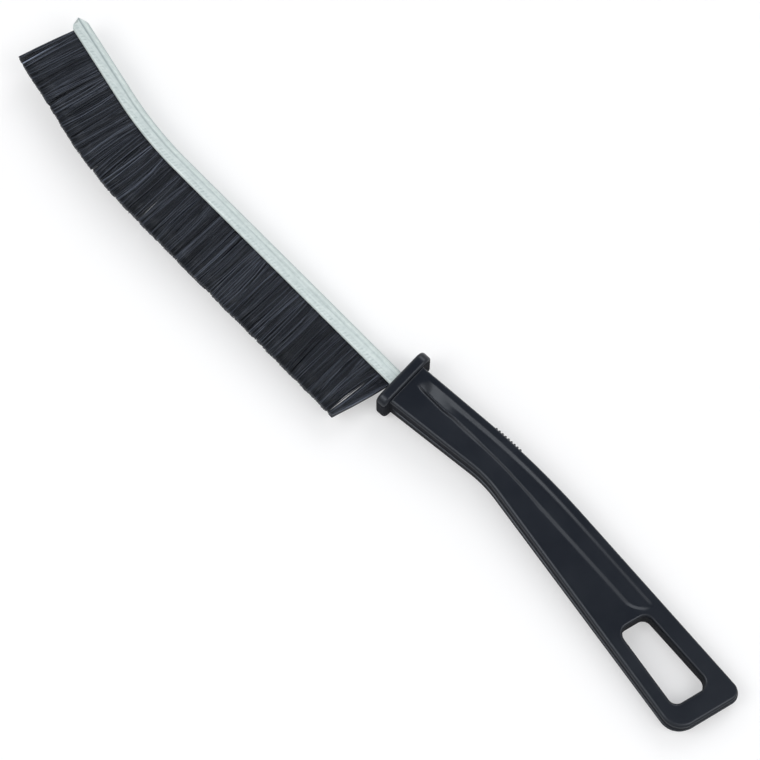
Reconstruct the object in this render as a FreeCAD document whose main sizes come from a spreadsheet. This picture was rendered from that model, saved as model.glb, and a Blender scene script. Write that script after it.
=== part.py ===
import FreeCAD, Part
import math
import os

import Sketcher

# A crevice brush: a crimped steel channel full of folded filaments, held in a moulded handle.
#
# While it is drawn, X runs along the straight part of the channel towards the handle's tail, Y points to
# the back of the channel and Z is the brush's thickness. The drawing's origin is on the channel's middle
# line, in the front face of the handle's guard. At the end the whole brush is set on its lowest face.

# Driving sizes in millimetres, angles in degrees
SIZES = {
    # Channel and core wire
    "straight_run": 106.9,       # guard to the corner of the bend
    "tip_run": 42.4,             # corner of the bend to the cut tip
    "bend_angle": 12.0,
    "bend_radius": 133.0,
    "tang_length": 24.0,         # part of the channel inside the handle
    "channel_width": 4.6,
    "channel_depth": 5.1,
    "channel_wall": 0.5,
    "channel_back_round": 1.7,
    "mouth_width": 3.7,          # outside width across the two lips
    "wire_diameter": 1.6,
    # Filament fill
    "fill_clearance": 0.05,
    "free_length": 18.6,         # filament outside the channel
    "ragged_length": 0.5,        # most that a lock is shorter than the longest one
    "tip_thickness": 4.2,
    "lock_gap": 0.06,
    "notch_width": 0.3,
    "tip_inset": 0.3,
    "guard_gap": 0.9,
    "lean_fade": 14.0,           # stretch beside the guard where the locks lean over
    # Guard
    "guard_thickness": 3.6,
    "guard_height": 20.4,
    "guard_rise": 0.4,           # middle of the guard above the channel's middle line
    "guard_width": 13.6,
    "guard_corner_radius": 3.0,
    "guard_edge_round": 0.8,
    "guard_root_fillet": 0.5,
    "guard_tilt_angle": 3.6,
    # Grip
    "neck_top": 7.2,             # back edge at the guard, above the channel's middle line
    "neck_bottom": 7.3,          # lower edge at the guard, below that line
    "crest_along": 45.8,
    "crest_up": 11.0,
    "crest_radius": 270.0,
    "knee_along": 38.8,
    "knee_down": 2.85,
    "knee_radius": 40.0,
    "tail_top_along": 133.0,
    "tail_top_up": 5.8,
    "tail_top_radius": 3.2,
    "tail_slant": 5.2,           # lower corner of the tail ahead of the upper one
    "tail_bottom_down": 16.35,
    "tail_bottom_radius": 6.2,
    "neck_thickness": 10.8,
    "tail_thickness": 7.0,
    "grip_edge_round": 1.0,
    # Hanging slot
    "slot_length": 26.0,
    "upper_rim": 5.2,
    "lower_rim": 4.6,
    "tail_rim": 6.9,
    "slot_corner_radius": 2.7,
    "slot_edge_round": 0.8,
    # Finger flute
    "flute_start": 5.4,
    "flute_end_gap": 3.6,        # flute to the front of the hanging slot
    "flute_width": 6.2,
    "flute_depth": 0.5,
    "flute_inset": 2.2,          # flute's upper edge to the grip's back edge
    # Thumb ribs
    "rib_pitch": 1.15,
    "rib_height": 0.45,
    "rib_sink": 0.4,
    "rib_length": 5.6,
    "rib_row_ahead": 8.4,        # middle of the row to the middle of the crest
    # Socket
    "socket_clearance": 0.05,
    "socket_end_gap": 0.2,
    "overrun": 2.0,              # how far every cut runs past the face that it starts at
}

# Counts and shares
LOCK_COUNT = 38
STRANDS_PER_LOCK = 3
RIB_COUNT = 9
NECK_START_SHARE = 0.5           # of the guard's thickness, where the grip begins inside it
RIB_WIDTH_SHARE = 0.82           # of the ribs' pitch
NOTCH_DEPTH_SHARE = 0.72         # of the free length
GOLDEN_SHARE = 0.6180339887
OCTAGON_SHARE = 0.41421356       # half a side of an octagon, of the radius of the circle inside it
# Places along the flute, with its width there
FLUTE_SHARES = ((0.0, 0.12), (0.11, 0.55), (0.28, 0.88), (0.52, 1.0), (0.94, 0.98), (1.0, 0.42))

# Lean of the filaments along the channel, towards the handle
BODY_LEAN_DEGREES = 2.5
GUARD_LEAN_DEGREES = -11.5
TIP_LEAN_DEGREES = -2.0
LEAN_SCATTER_DEGREES = 1.3

# Expressions of the sheet's sizes that more than one piece is drawn with
NECK_START = f"(sizes.guard_thickness * {NECK_START_SHARE})"
CREST = ("sizes.crest_along", "sizes.crest_up")
KNEE = ("sizes.knee_along", "-sizes.knee_down")
TAIL_TOP = ("sizes.tail_top_along", "sizes.tail_top_up")
TAIL_BOTTOM = ("(sizes.tail_top_along - sizes.tail_slant)", "-sizes.tail_bottom_down")
# The grip's upper face: how much it falls along the grip, and its height over the drawing's origin
FACE_FALL = f"((sizes.neck_thickness - sizes.tail_thickness) / 2 / (sizes.tail_top_along - {NECK_START}))"
FACE_SLOPE = f"atan({FACE_FALL})"
FACE_RISE = f"(sizes.neck_thickness / 2 + {NECK_START} * {FACE_FALL})"
FLUTE_END = "(sizes.tail_top_along - sizes.tail_rim - sizes.slot_length - sizes.flute_end_gap)"
FOLD_RADIUS = "(sizes.channel_width / 2 - sizes.channel_wall - sizes.fill_clearance)"
# The core wire's middle above the channel's middle line: the fold over it touches the channel's back
WIRE_HEIGHT = f"(sizes.channel_depth / 2 - sizes.channel_wall - sizes.fill_clearance - {FOLD_RADIUS})"
BEND_RUN = "(sizes.bend_radius * tan(sizes.bend_angle / 2))"
BEND_ARC = f"(sizes.bend_radius * sizes.bend_angle * {math.pi / 180})"
STRIP_LENGTH = f"(sizes.straight_run + sizes.tip_run - 2 * {BEND_RUN} + {BEND_ARC})"
LOCK_PITCH = f"(({STRIP_LENGTH} - sizes.guard_gap - sizes.tip_inset) / {LOCK_COUNT})"
HALF_LOCK = f"(({LOCK_PITCH} - sizes.lock_gap) / 2)"

ANGLE_TOLERANCE = 1e-4
VOLUME_TOLERANCE = 1e-4
PLACE_TOLERANCE_SHARE = 0.002    # of the guard's thickness

doc = FreeCAD.newDocument("crevice_brush")
sheet = doc.addObject("Spreadsheet::Sheet", "sizes")
for row, (alias, number) in enumerate(SIZES.items(), start=1):
    sheet.set(f"A{row}", alias)
    sheet.set(f"B{row}", str(number))
    sheet.setAlias(f"B{row}", alias)
doc.recompute()


def size(alias):
    """Read one driving size from the sheet."""
    return float(sheet.get(alias))


def worked_out(expression):
    """Value of an expression of the sheet's sizes."""
    return float(sheet.evalExpression(expression.replace("sizes.", "")))


near = PLACE_TOLERANCE_SHARE * size("guard_thickness")


# Drawing helpers

def origin_plane(body, role):
    """One of the body's own three planes."""
    for feature in body.Origin.OriginFeatures:
        if feature.Role == role:
            return feature
    raise ValueError(role)


def new_sketch(body, name, role, offset=None):
    """A sketch on one of the body's planes, moved by an offset in that plane's own axes."""
    sketch = body.newObject("Sketcher::SketchObject", name)
    sketch.AttachmentSupport = [(origin_plane(body, role), "")]
    sketch.MapMode = "FlatFace"
    if offset is not None:
        sketch.AttachmentOffset = offset
    return sketch


def tie(sketch, kind, *places, by):
    """Add a measured constraint and bind it to an expression of the sheet's sizes."""
    number = sketch.addConstraint(Sketcher.Constraint(kind, *places, worked_out(by)))
    sketch.setExpression(f"Constraints[{number}]", by)


def tie_point(sketch, edge, end, across, up):
    """Bind one end of an edge, or its centre, to a place in the sketch."""
    tie(sketch, "DistanceX", -1, 1, edge, end, by=across)
    tie(sketch, "DistanceY", -1, 1, edge, end, by=up)


def place_of(corner):
    """The point that a pair of expressions stands for."""
    across, up = corner
    return FreeCAD.Vector(worked_out(across), worked_out(up), 0)


def add_outline(sketch, corners):
    """Close an outline of straight edges through corners given as pairs of expressions."""
    points = [place_of(corner) for corner in corners]
    edges = []
    for start, end in zip(points, points[1:] + points[:1]):
        edges.append(sketch.addGeometry(Part.LineSegment(start, end)))
    for edge, following in zip(edges, edges[1:] + edges[:1]):
        sketch.addConstraint(Sketcher.Constraint("Coincident", edge, 2, following, 1))
    for edge, (across, up) in zip(edges, corners):
        tie_point(sketch, edge, 1, across, up)
    return edges


def add_arc(sketch, start, through, end):
    """Add an arc, and give its number with the numbers of its start and its end point."""
    circle = Part.Circle(start, through, end)
    turns_left = (through - start).cross(end - through).z > 0
    first, last = (start, end) if turns_left else (end, start)
    angles = [math.atan2(point.y - circle.Center.y, point.x - circle.Center.x) for point in (first, last)]
    if angles[1] < angles[0]:
        angles[1] += 2 * math.pi
    ring = Part.Circle(circle.Center, FreeCAD.Vector(0, 0, 1), circle.Radius)
    edge = sketch.addGeometry(Part.ArcOfCircle(ring, *angles))
    return (edge, 1, 2) if turns_left else (edge, 2, 1)


def add_feature(body, kind, name, sketch=None):
    """A feature of the body, made from a sketch where it needs one."""
    feature = body.newObject(f"PartDesign::{kind}", name)
    if sketch is not None:
        feature.Profile = sketch
        sketch.Visibility = False
    return feature


def through_cut(body, name, sketch):
    """Cut a sketch right through the body, to both sides of its plane."""
    before = body.Shape.Volume
    cut = add_feature(body, "Pocket", name, sketch)
    cut.Type = "ThroughAll"
    cut.Midplane = True
    doc.recompute()
    if body.Shape.Volume >= before:
        raise ValueError(f"{name} cuts nothing")
    return cut


def round_edges(body, name, wanted, by):
    """Round the edges of the body that a test picks out."""
    base = body.Tip
    names = [f"Edge{i}" for i, edge in enumerate(base.Shape.Edges, start=1) if wanted(edge)]
    if not names:
        raise ValueError(f"{name} has no edges")
    rounding = body.newObject("PartDesign::Fillet", name)
    rounding.Base = (base, names)
    rounding.setExpression("Radius", by)
    doc.recompute()
    return rounding


def lies_along(edge, direction):
    """Is this a straight edge in the given direction?"""
    if edge.Degenerated or edge.Curve.TypeId != "Part::GeomLine":
        return False
    return edge.tangentAt(edge.FirstParameter).cross(direction).Length < ANGLE_TOLERANCE


def runs_from(edge, corners, direction):
    """Is this a straight edge in the given direction that starts or ends at one of the corners?"""
    if not lies_along(edge, direction):
        return False
    ends = [vertex.Point for vertex in edge.Vertexes]
    return any(end.distanceToPoint(corner) < near for end in ends for corner in corners)


def in_plane(edge, normal, depth):
    """Does the edge lie in the plane square to this direction, at this depth from the drawing's origin?"""
    points = [vertex.Point for vertex in edge.Vertexes] + [edge.CenterOfMass]
    return all(abs(point.dot(normal) - depth) < near for point in points)


# Handle

def face_normal():
    """Direction that the grip's upper face looks in."""
    slope = math.radians(worked_out(FACE_SLOPE))
    return FreeCAD.Vector(math.sin(slope), 0, math.cos(slope))


def face_sketch(body, name):
    """A sketch in the grip's upper face."""
    slope = FreeCAD.Rotation(FreeCAD.Vector(0, 1, 0), worked_out(FACE_SLOPE))
    sketch = new_sketch(body, name, "XY_Plane", FreeCAD.Placement(FreeCAD.Vector(), slope))
    sketch.setExpression("AttachmentOffset.Rotation.Angle", FACE_SLOPE)
    sketch.setExpression("AttachmentOffset.Base.z", FACE_RISE)
    doc.recompute()
    return sketch


def in_upper_face(edge):
    """Does the edge lie in the grip's upper face?"""
    normal = face_normal()
    return in_plane(edge, normal, worked_out(FACE_RISE) * normal.z)


def grip_half(body):
    """The grip's upper half: its side view, drawn in its face and padded square to it, to the middle plane."""
    sketch = face_sketch(body, "grip_outline")
    neck_top, neck_bottom = (NECK_START, "sizes.neck_top"), (NECK_START, "-sizes.neck_bottom")
    add_outline(sketch, (neck_top, CREST, TAIL_TOP, TAIL_BOTTOM, KNEE, neck_bottom))
    pad = add_feature(body, "Pad", "grip_blank", sketch)
    pad.Type = "UpToFace"
    pad.UpToFace = (origin_plane(body, "XY_Plane"), [""])
    pad.Reversed = True
    doc.recompute()

    for name, place in (("crest", CREST), ("knee", KNEE), ("tail_top", TAIL_TOP), ("tail_bottom", TAIL_BOTTOM)):
        corner = sketch.Placement.multVec(place_of(place))
        round_edges(body, f"{name}_round",
                    lambda edge: runs_from(edge, [corner], face_normal()), f"sizes.{name}_radius")
    front = worked_out(NECK_START)
    round_edges(body, "grip_edges",
                lambda edge: in_upper_face(edge) and edge.BoundBox.XMax - front > near, "sizes.grip_edge_round")


def other_half(body):
    """Mirror the grip's upper half, with its slot and flute, to the other side of the middle plane."""
    before = body.Shape.Volume
    mirrored = body.newObject("PartDesign::Mirrored", "grip_lower_half")
    mirrored.TransformMode = "Whole shape"
    mirrored.MirrorPlane = (origin_plane(body, "XY_Plane"), [""])
    body.Tip = mirrored
    doc.recompute()
    if not math.isclose(body.Shape.Volume, 2 * before, rel_tol=VOLUME_TOLERANCE):
        raise ValueError("the two halves of the grip don't meet")


def guard(body):
    """The flange between the grip and the channel, square to the neck."""
    tilt = FreeCAD.Rotation(FreeCAD.Vector(0, 1, 0), size("guard_tilt_angle"))
    sketch = new_sketch(body, "guard_outline", "YZ_Plane", FreeCAD.Placement(FreeCAD.Vector(), tilt))
    sketch.setExpression("AttachmentOffset.Rotation.Angle", "sizes.guard_tilt_angle")
    low = "sizes.guard_rise - sizes.guard_height / 2"
    high = "sizes.guard_rise + sizes.guard_height / 2"
    side = "sizes.guard_width / 2"
    add_outline(sketch, ((low, f"-{side}"), (high, f"-{side}"), (high, side), (low, side)))
    pad = add_feature(body, "Pad", "guard", sketch)
    pad.setExpression("Length", "sizes.guard_thickness")
    doc.recompute()

    round_edges(body, "guard_corners", on_guard_corner, "sizes.guard_corner_radius")
    round_edges(body, "guard_edges", on_guard_rim, "sizes.guard_edge_round")
    round_edges(body, "guard_root", at_guard_root, "sizes.guard_root_fillet")


def tilt_axis():
    """Direction that the guard's rear face looks in."""
    angle = math.radians(size("guard_tilt_angle"))
    return FreeCAD.Vector(math.cos(angle), math.sin(angle), 0)


def on_guard_corner(edge):
    """Is this one of the four edges through the guard at its corners?"""
    outer = size("guard_width") / 2
    return lies_along(edge, tilt_axis()) and abs(abs(edge.CenterOfMass.z) - outer) < near


def on_guard_rim(edge):
    """Is this part of the guard's outer rim, at its front or its rear face?"""
    depths = (0, size("guard_thickness"))
    return outside_neck(edge) and any(in_plane(edge, tilt_axis(), depth) for depth in depths)


def outside_neck(edge):
    """Is the edge clear of the neck's section?"""
    middle = edge.CenterOfMass
    half = size("neck_thickness") / 2
    clear_side = abs(middle.z) > half + near
    clear_end = abs(middle.y - size("guard_rise")) > (size("neck_top") + size("guard_height") / 2) / 2
    return clear_side or clear_end


def at_guard_root(edge):
    """Is this part of the line where the grip leaves the guard's rear face?"""
    return in_plane(edge, tilt_axis(), size("guard_thickness")) and not outside_neck(edge)


def back_edge(along):
    """Height of the grip's back edge over the channel's middle line, without the round of its crest."""
    start, stop = NECK_START, "sizes.crest_along"
    low, high = "sizes.neck_top", "sizes.crest_up"
    if worked_out(flute_place(along)) > size("crest_along"):
        start, stop = "sizes.crest_along", "sizes.tail_top_along"
        low, high = "sizes.crest_up", "sizes.tail_top_up"
    return f"({low} + ({high} - {low}) * ({flute_place(along)} - {start}) / ({stop} - {start}))"


def flute_place(share):
    """Place along the grip of one section of the flute."""
    return f"(sizes.flute_start + {share} * ({FLUTE_END} - sizes.flute_start))"


def rim_line(start, end, inset):
    """A straight edge of the tail moved inwards, as a point and a direction. Inwards is to the right."""
    run = (end - start).normalize()
    return start + FreeCAD.Vector(run.y, -run.x, 0) * inset, run


def crossing(first, second):
    """Where two lines in the XY plane meet."""
    (here, run), (there, other) = first, second
    gap = there - here
    share = (gap.x * other.y - gap.y * other.x) / (run.x * other.y - run.y * other.x)
    return here + run * share


def hanging_slot(body):
    """The slot in the tail, with walls parallel to the tail's edges."""
    sketch = face_sketch(body, "slot_outline")
    walls = (
        (CREST, TAIL_TOP, "sizes.upper_rim"),
        (TAIL_TOP, TAIL_BOTTOM, "sizes.tail_rim"),
        (TAIL_BOTTOM, KNEE, "sizes.lower_rim"),
        (TAIL_TOP, TAIL_BOTTOM, "sizes.tail_rim + sizes.slot_length"),
    )
    lines = []
    for start, stop, inset in walls:
        lines.append(rim_line(place_of(start), place_of(stop), worked_out(inset)))
    corners = [crossing(lines[i - 1], lines[i]) for i in range(len(lines))]

    edges = []
    for start, stop in zip(corners, corners[1:] + corners[:1]):
        edges.append(sketch.addGeometry(Part.LineSegment(start, stop)))
    for edge, following in zip(edges, edges[1:] + edges[:1]):
        sketch.addConstraint(Sketcher.Constraint("Coincident", edge, 2, following, 1))
    for edge, (start, stop, inset) in zip(edges, walls):
        rim = sketch.addGeometry(Part.LineSegment(place_of(start), place_of(stop)), True)
        tie_point(sketch, rim, 1, *start)
        tie_point(sketch, rim, 2, *stop)
        sketch.addConstraint(Sketcher.Constraint("Parallel", edge, rim))
        tie(sketch, "Distance", edge, 1, rim, by=inset)
    through_cut(body, "slot", sketch)
    corners = [sketch.Placement.multVec(corner) for corner in corners]
    round_edges(body, "slot_corners",
                lambda edge: runs_from(edge, corners, face_normal()), "sizes.slot_corner_radius")
    mouth = Part.makePolygon(corners + corners[:1]).BoundBox
    mouth.enlarge(near)
    round_edges(body, "slot_edges",
                lambda edge: in_upper_face(edge) and mouth.isInside(edge.BoundBox), "sizes.slot_edge_round")


def finger_flute(body):
    """A shallow hollow along the face, beside the back edge, with a long pointed start at the guard."""
    sections = []
    for number, (place_share, width_share) in enumerate(FLUTE_SHARES, start=1):
        sections.append(flute_section(body, f"flute_section_{number}", place_share, width_share))
    before = body.Shape.Volume
    flute = add_feature(body, "SubtractiveLoft", "flute", sections[0])
    flute.Sections = [(section, [""]) for section in sections[1:]]
    flute.Ruled = True
    doc.recompute()
    if body.Shape.Volume >= before:
        raise ValueError("the flute cuts nothing")


def flute_section(body, name, place_share, width_share):
    """A round-bottomed section of the flute, across the grip."""
    sketch = new_sketch(body, name, "YZ_Plane")
    sketch.setExpression("AttachmentOffset.Base.z", flute_place(place_share))
    half = f"(sizes.flute_width * {width_share} / 2)"
    depth = f"(sizes.flute_depth * {width_share})"
    radius = f"(({half} * {half} + {depth} * {depth}) / (2 * {depth}))"
    middle = f"({back_edge(place_share)} - sizes.flute_inset - {half})"
    face = f"({FACE_RISE} - {flute_place(place_share)} * {FACE_FALL})"
    lip = f"({face} + sizes.flute_depth)"
    centre = f"({face} + {radius} - {depth})"
    spread = f"sqrt({radius} * {radius} - ({centre} - {lip}) * ({centre} - {lip}))"
    left = place_of((f"{middle} - {spread}", lip))
    bottom = place_of((middle, f"{face} - {depth}"))
    right = place_of((f"{middle} + {spread}", lip))
    arc, starts, ends = add_arc(sketch, left, bottom, right)
    lid = sketch.addGeometry(Part.LineSegment(right, left))
    sketch.addConstraint(Sketcher.Constraint("Coincident", arc, ends, lid, 1))
    sketch.addConstraint(Sketcher.Constraint("Coincident", lid, 2, arc, starts))
    sketch.addConstraint(Sketcher.Constraint("Horizontal", lid))
    tie_point(sketch, arc, 3, middle, centre)
    tie(sketch, "Radius", arc, by=radius)
    tie(sketch, "DistanceY", -1, 1, lid, 1, by=lip)
    return sketch


def thumb_ribs(body):
    """A row of small ribs across the back edge, on the round of the crest, where the thumb presses."""
    start = FreeCAD.Vector(worked_out(NECK_START), size("neck_top"), 0)
    crest = FreeCAD.Vector(size("crest_along"), size("crest_up"), 0)
    tail = FreeCAD.Vector(size("tail_top_along"), size("tail_top_up"), 0)
    before, after = (start - crest).normalize(), (tail - crest).normalize()
    inwards = (before + after).normalize()
    half_angle = inwards.getAngle(after)
    centre = crest + inwards * (size("crest_radius") / math.sin(half_angle))
    row = size("rib_pitch") * (RIB_COUNT - 1)
    upright = math.atan2(-inwards.y, -inwards.x)
    first = upright + (size("rib_row_ahead") + row / 2) / size("crest_radius")
    middle = upright + size("rib_row_ahead") / size("crest_radius")
    foot = centre + FreeCAD.Vector(math.cos(first), math.sin(first), 0) * size("crest_radius")
    turn = FreeCAD.Rotation(FreeCAD.Vector(0, 0, 1), math.degrees(middle) - 90)

    sketch = new_sketch(body, "rib_outline", "XY_Plane", FreeCAD.Placement(foot, turn))
    half = f"sizes.rib_pitch * {RIB_WIDTH_SHARE} / 2"
    add_outline(sketch, (
        (f"-{half}", "-sizes.rib_sink"),
        (half, "-sizes.rib_sink"),
        (half, "0"),
        ("0", "sizes.rib_height"),
        (f"-{half}", "0"),
    ))
    rib = add_feature(body, "Pad", "thumb_rib", sketch)
    rib.Midplane = True
    rib.setExpression("Length", "sizes.rib_length")
    doc.recompute()
    pattern = body.newObject("PartDesign::LinearPattern", "thumb_ribs")
    pattern.Originals = [rib]
    pattern.Direction = (sketch, ["H_Axis"])
    pattern.setExpression("Length", f"sizes.rib_pitch * {RIB_COUNT - 1}")
    pattern.Occurrences = RIB_COUNT
    body.Tip = pattern
    doc.recompute()


def socket(body):
    """The blind hole for the channel's tang."""
    sketch = new_sketch(body, "socket_outline", "YZ_Plane",
                        FreeCAD.Placement(FreeCAD.Vector(0, 0, -size("overrun")), FreeCAD.Rotation()))
    back = "sizes.channel_depth / 2 + sizes.socket_clearance"
    lip = f"-({back})"
    wide = "sizes.channel_width / 2 + sizes.socket_clearance"
    narrow = "sizes.mouth_width / 2 + sizes.socket_clearance"
    add_outline(sketch, (
        (back, wide), (WIRE_HEIGHT, wide), (lip, narrow),
        (lip, f"-({narrow})"), (WIRE_HEIGHT, f"-({wide})"), (back, f"-({wide})"),
    ))
    before = body.Shape.Volume
    cut = add_feature(body, "Pocket", "socket", sketch)
    cut.Reversed = True
    cut.setExpression("Length", "sizes.overrun + sizes.tang_length + sizes.socket_end_gap")
    doc.recompute()
    if body.Shape.Volume >= before:
        raise ValueError("the socket cuts nothing")


def make_handle():
    """The moulded handle."""
    body = doc.addObject("PartDesign::Body", "handle")
    grip_half(body)
    hanging_slot(body)
    finger_flute(body)
    other_half(body)
    guard(body)
    thumb_ribs(body)
    socket(body)
    return body


# Channel and core wire

def strip_path(body):
    """The line that the channel follows: straight from the tang, an easy bend, straight to the tip."""
    sketch = new_sketch(body, f"{body.Name}_path", "XY_Plane")
    bend_run = worked_out(BEND_RUN)
    angle = math.radians(size("bend_angle"))
    back = FreeCAD.Vector(-math.cos(angle), math.sin(angle), 0)
    corner = FreeCAD.Vector(-size("straight_run"), 0, 0)
    start = FreeCAD.Vector(size("tang_length"), 0, 0)
    enter = corner + FreeCAD.Vector(bend_run, 0, 0)
    leave = corner + back * bend_run
    tip = corner + back * size("tip_run")
    centre = enter + FreeCAD.Vector(0, size("bend_radius"), 0)
    halfway = centre + (corner - centre).normalize() * size("bend_radius")

    run = sketch.addGeometry(Part.LineSegment(start, enter))
    bend, enters, leaves = add_arc(sketch, enter, halfway, leave)
    end = sketch.addGeometry(Part.LineSegment(leave, tip))
    sketch.addConstraint(Sketcher.Constraint("Horizontal", run))
    tie_point(sketch, run, 1, "sizes.tang_length", "0")
    sketch.addConstraint(Sketcher.Constraint("Tangent", run, 2, bend, enters))
    sketch.addConstraint(Sketcher.Constraint("Tangent", bend, leaves, end, 1))
    tie(sketch, "Radius", bend, by="sizes.bend_radius")
    tip_across = "-sizes.straight_run - sizes.tip_run * cos(sizes.bend_angle)"
    tie_point(sketch, end, 2, tip_across, "sizes.tip_run * sin(sizes.bend_angle)")
    tie(sketch, "DistanceX", -1, 1, bend, 3, by=f"{BEND_RUN} - sizes.straight_run")
    return sketch


def sweep_along_strip(body, section):
    """Carry a section along the channel's line, from the end of the tang to the tip."""
    path = strip_path(body)
    pipe = add_feature(body, "AdditivePipe", f"{body.Name}_sweep", section)
    pipe.Spine = (path, ["Edge1", "Edge2", "Edge3"])
    path.Visibility = False
    doc.recompute()


def across_tang_end():
    """Offset of a section that stands across the end of the tang."""
    return FreeCAD.Placement(FreeCAD.Vector(0, 0, size("tang_length")), FreeCAD.Rotation())


def make_channel():
    """The folded strip: a flat back, two legs that close in below the wire, and an open mouth."""
    body = doc.addObject("PartDesign::Body", "channel")
    section = new_sketch(body, "channel_section", "YZ_Plane", across_tang_end())
    back = "sizes.channel_depth / 2"
    floor = "sizes.channel_depth / 2 - sizes.channel_wall"
    lip = "-sizes.channel_depth / 2"
    wide = "sizes.channel_width / 2"
    wide_in = "(sizes.channel_width / 2 - sizes.channel_wall)"
    narrow = "sizes.mouth_width / 2"
    narrow_in = "(sizes.mouth_width / 2 - sizes.channel_wall)"
    add_outline(section, (
        (back, wide), (WIRE_HEIGHT, wide), (lip, narrow), (lip, narrow_in), (WIRE_HEIGHT, wide_in),
        (floor, wide_in), (floor, f"-{wide_in}"), (WIRE_HEIGHT, f"-{wide_in}"), (lip, f"-{narrow_in}"),
        (lip, f"-{narrow}"), (WIRE_HEIGHT, f"-{wide}"), (back, f"-{wide}"),
    ))
    sweep_along_strip(body, section)
    wall = size("channel_wall")
    for name, inset, radius in (
            ("channel_back", 0, "sizes.channel_back_round"),
            ("channel_inside", wall, "sizes.channel_back_round - sizes.channel_wall")):
        up = size("channel_depth") / 2 - inset
        aside = size("channel_width") / 2 - inset
        corners = [FreeCAD.Vector(size("tang_length"), up, sign * aside) for sign in (1, -1)]
        along = FreeCAD.Vector(1, 0, 0)
        round_edges(body, name, lambda edge: runs_from(edge, corners, along), radius)
    return body


def make_core_wire():
    """The round wire that the filaments are folded over."""
    body = doc.addObject("PartDesign::Body", "core_wire")
    section = new_sketch(body, "wire_section", "YZ_Plane", across_tang_end())
    centre = FreeCAD.Vector(worked_out(WIRE_HEIGHT), 0, 0)
    ring = section.addGeometry(Part.Circle(centre, FreeCAD.Vector(0, 0, 1), size("wire_diameter") / 2))
    tie_point(section, ring, 3, WIRE_HEIGHT, "0")
    tie(section, "Diameter", ring, by="sizes.wire_diameter")
    sweep_along_strip(body, section)
    return body


# Filament fill

def heading(distance):
    """Degrees that the channel has turned, this far from the guard."""
    into_bend = distance - (size("straight_run") - worked_out(BEND_RUN))
    turned = math.degrees(into_bend / size("bend_radius"))
    return min(max(turned, 0), size("bend_angle"))


def place_on_strip(distance):
    """Place and direction of the channel's middle line, this far from the guard."""
    enter = size("straight_run") - worked_out(BEND_RUN)
    turned = heading(distance)
    angle = math.radians(turned)
    straight = min(distance, enter)
    beyond = max(distance - enter - worked_out(BEND_ARC), 0)
    across = straight + size("bend_radius") * math.sin(angle) + beyond * math.cos(angle)
    up = size("bend_radius") * (1 - math.cos(angle)) + beyond * math.sin(angle)
    turn = FreeCAD.Rotation(FreeCAD.Vector(0, 0, 1), -turned)
    return FreeCAD.Placement(FreeCAD.Vector(-across, up, 0), turn)


def scatter(number):
    """An even spread of values from minus one to one."""
    return 2 * ((number * GOLDEN_SHARE) % 1) - 1


def lean(number, distance):
    """Lean in degrees of the line between two locks, towards the handle."""
    near_guard = max(0, 1 - distance / size("lean_fade"))
    to_tip = worked_out(STRIP_LENGTH) - distance
    near_tip = max(0, 1 - to_tip / (size("lean_fade") + size("tip_run")))
    guard_part = near_guard * (GUARD_LEAN_DEGREES - BODY_LEAN_DEGREES)
    tip_part = near_tip * (TIP_LEAN_DEGREES - BODY_LEAN_DEGREES)
    return BODY_LEAN_DEGREES + guard_part + tip_part + LEAN_SCATTER_DEGREES * scatter(number)


def make_lock(number):
    """One lock of filaments: folded over the wire, pinched by the mouth and spread in strands."""
    guard_side = size("guard_gap") + (number - 1) * worked_out(LOCK_PITCH)
    tip_side = guard_side + worked_out(LOCK_PITCH)
    middle = (guard_side + tip_side) / 2
    tip_lean = lean(number + 1, tip_side) - heading(tip_side) + heading(middle)
    guard_lean = lean(number, guard_side) - heading(guard_side) + heading(middle)
    body = doc.addObject("PartDesign::Body", f"bristle_lock_{number:02d}")
    lock_outline(body, number, tip_lean, guard_lean)
    lock_section(body)
    body.Placement = place_on_strip(middle)
    return body


def lock_outline(body, number, tip_lean, guard_lean):
    """The lock seen from the side: a comb of strands that follow the lean on each side of it."""
    def across(share, reach):
        """Place between the lock's tip side (0) and guard side (1), this far out of the mouth."""
        lean_there = (1 - share) * tip_lean + share * guard_lean
        drift = math.tan(math.radians(lean_there))
        return f"{HALF_LOCK} * {2 * share - 1:.6f} + {reach} * {drift:.6f}"

    lip = "-sizes.channel_depth / 2"
    notch = "sizes.notch_width / 2"
    root = f"(sizes.free_length * {1 - NOTCH_DEPTH_SHARE:.2f})"
    corners = [(HALF_LOCK, "sizes.channel_depth / 2"), (f"-{HALF_LOCK}", "sizes.channel_depth / 2")]
    corners.append((f"-{HALF_LOCK}", lip))
    for strand in range(STRANDS_PER_LOCK):
        short_share = abs(scatter(number * STRANDS_PER_LOCK + strand))
        drop = f"(sizes.free_length - sizes.ragged_length * {short_share:.4f})"
        tip_edge = across(strand / STRANDS_PER_LOCK, drop)
        guard_share = (strand + 1) / STRANDS_PER_LOCK
        guard_edge = across(guard_share, drop)
        first, last = strand == 0, strand == STRANDS_PER_LOCK - 1
        corners.append((tip_edge if first else f"{tip_edge} + {notch}", f"{lip} - {drop}"))
        corners.append((guard_edge if last else f"{guard_edge} - {notch}", f"{lip} - {drop}"))
        if not last:
            corners.append((across(guard_share, root), f"{lip} - {root}"))
    corners.append((HALF_LOCK, lip))
    sketch = new_sketch(body, f"{body.Name}_strands", "XY_Plane")
    add_outline(sketch, corners)
    pad = add_feature(body, "Pad", f"{body.Name}_blank", sketch)
    pad.Midplane = True
    pad.setExpression("Length", "sizes.channel_width + sizes.tip_thickness")
    doc.recompute()


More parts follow.
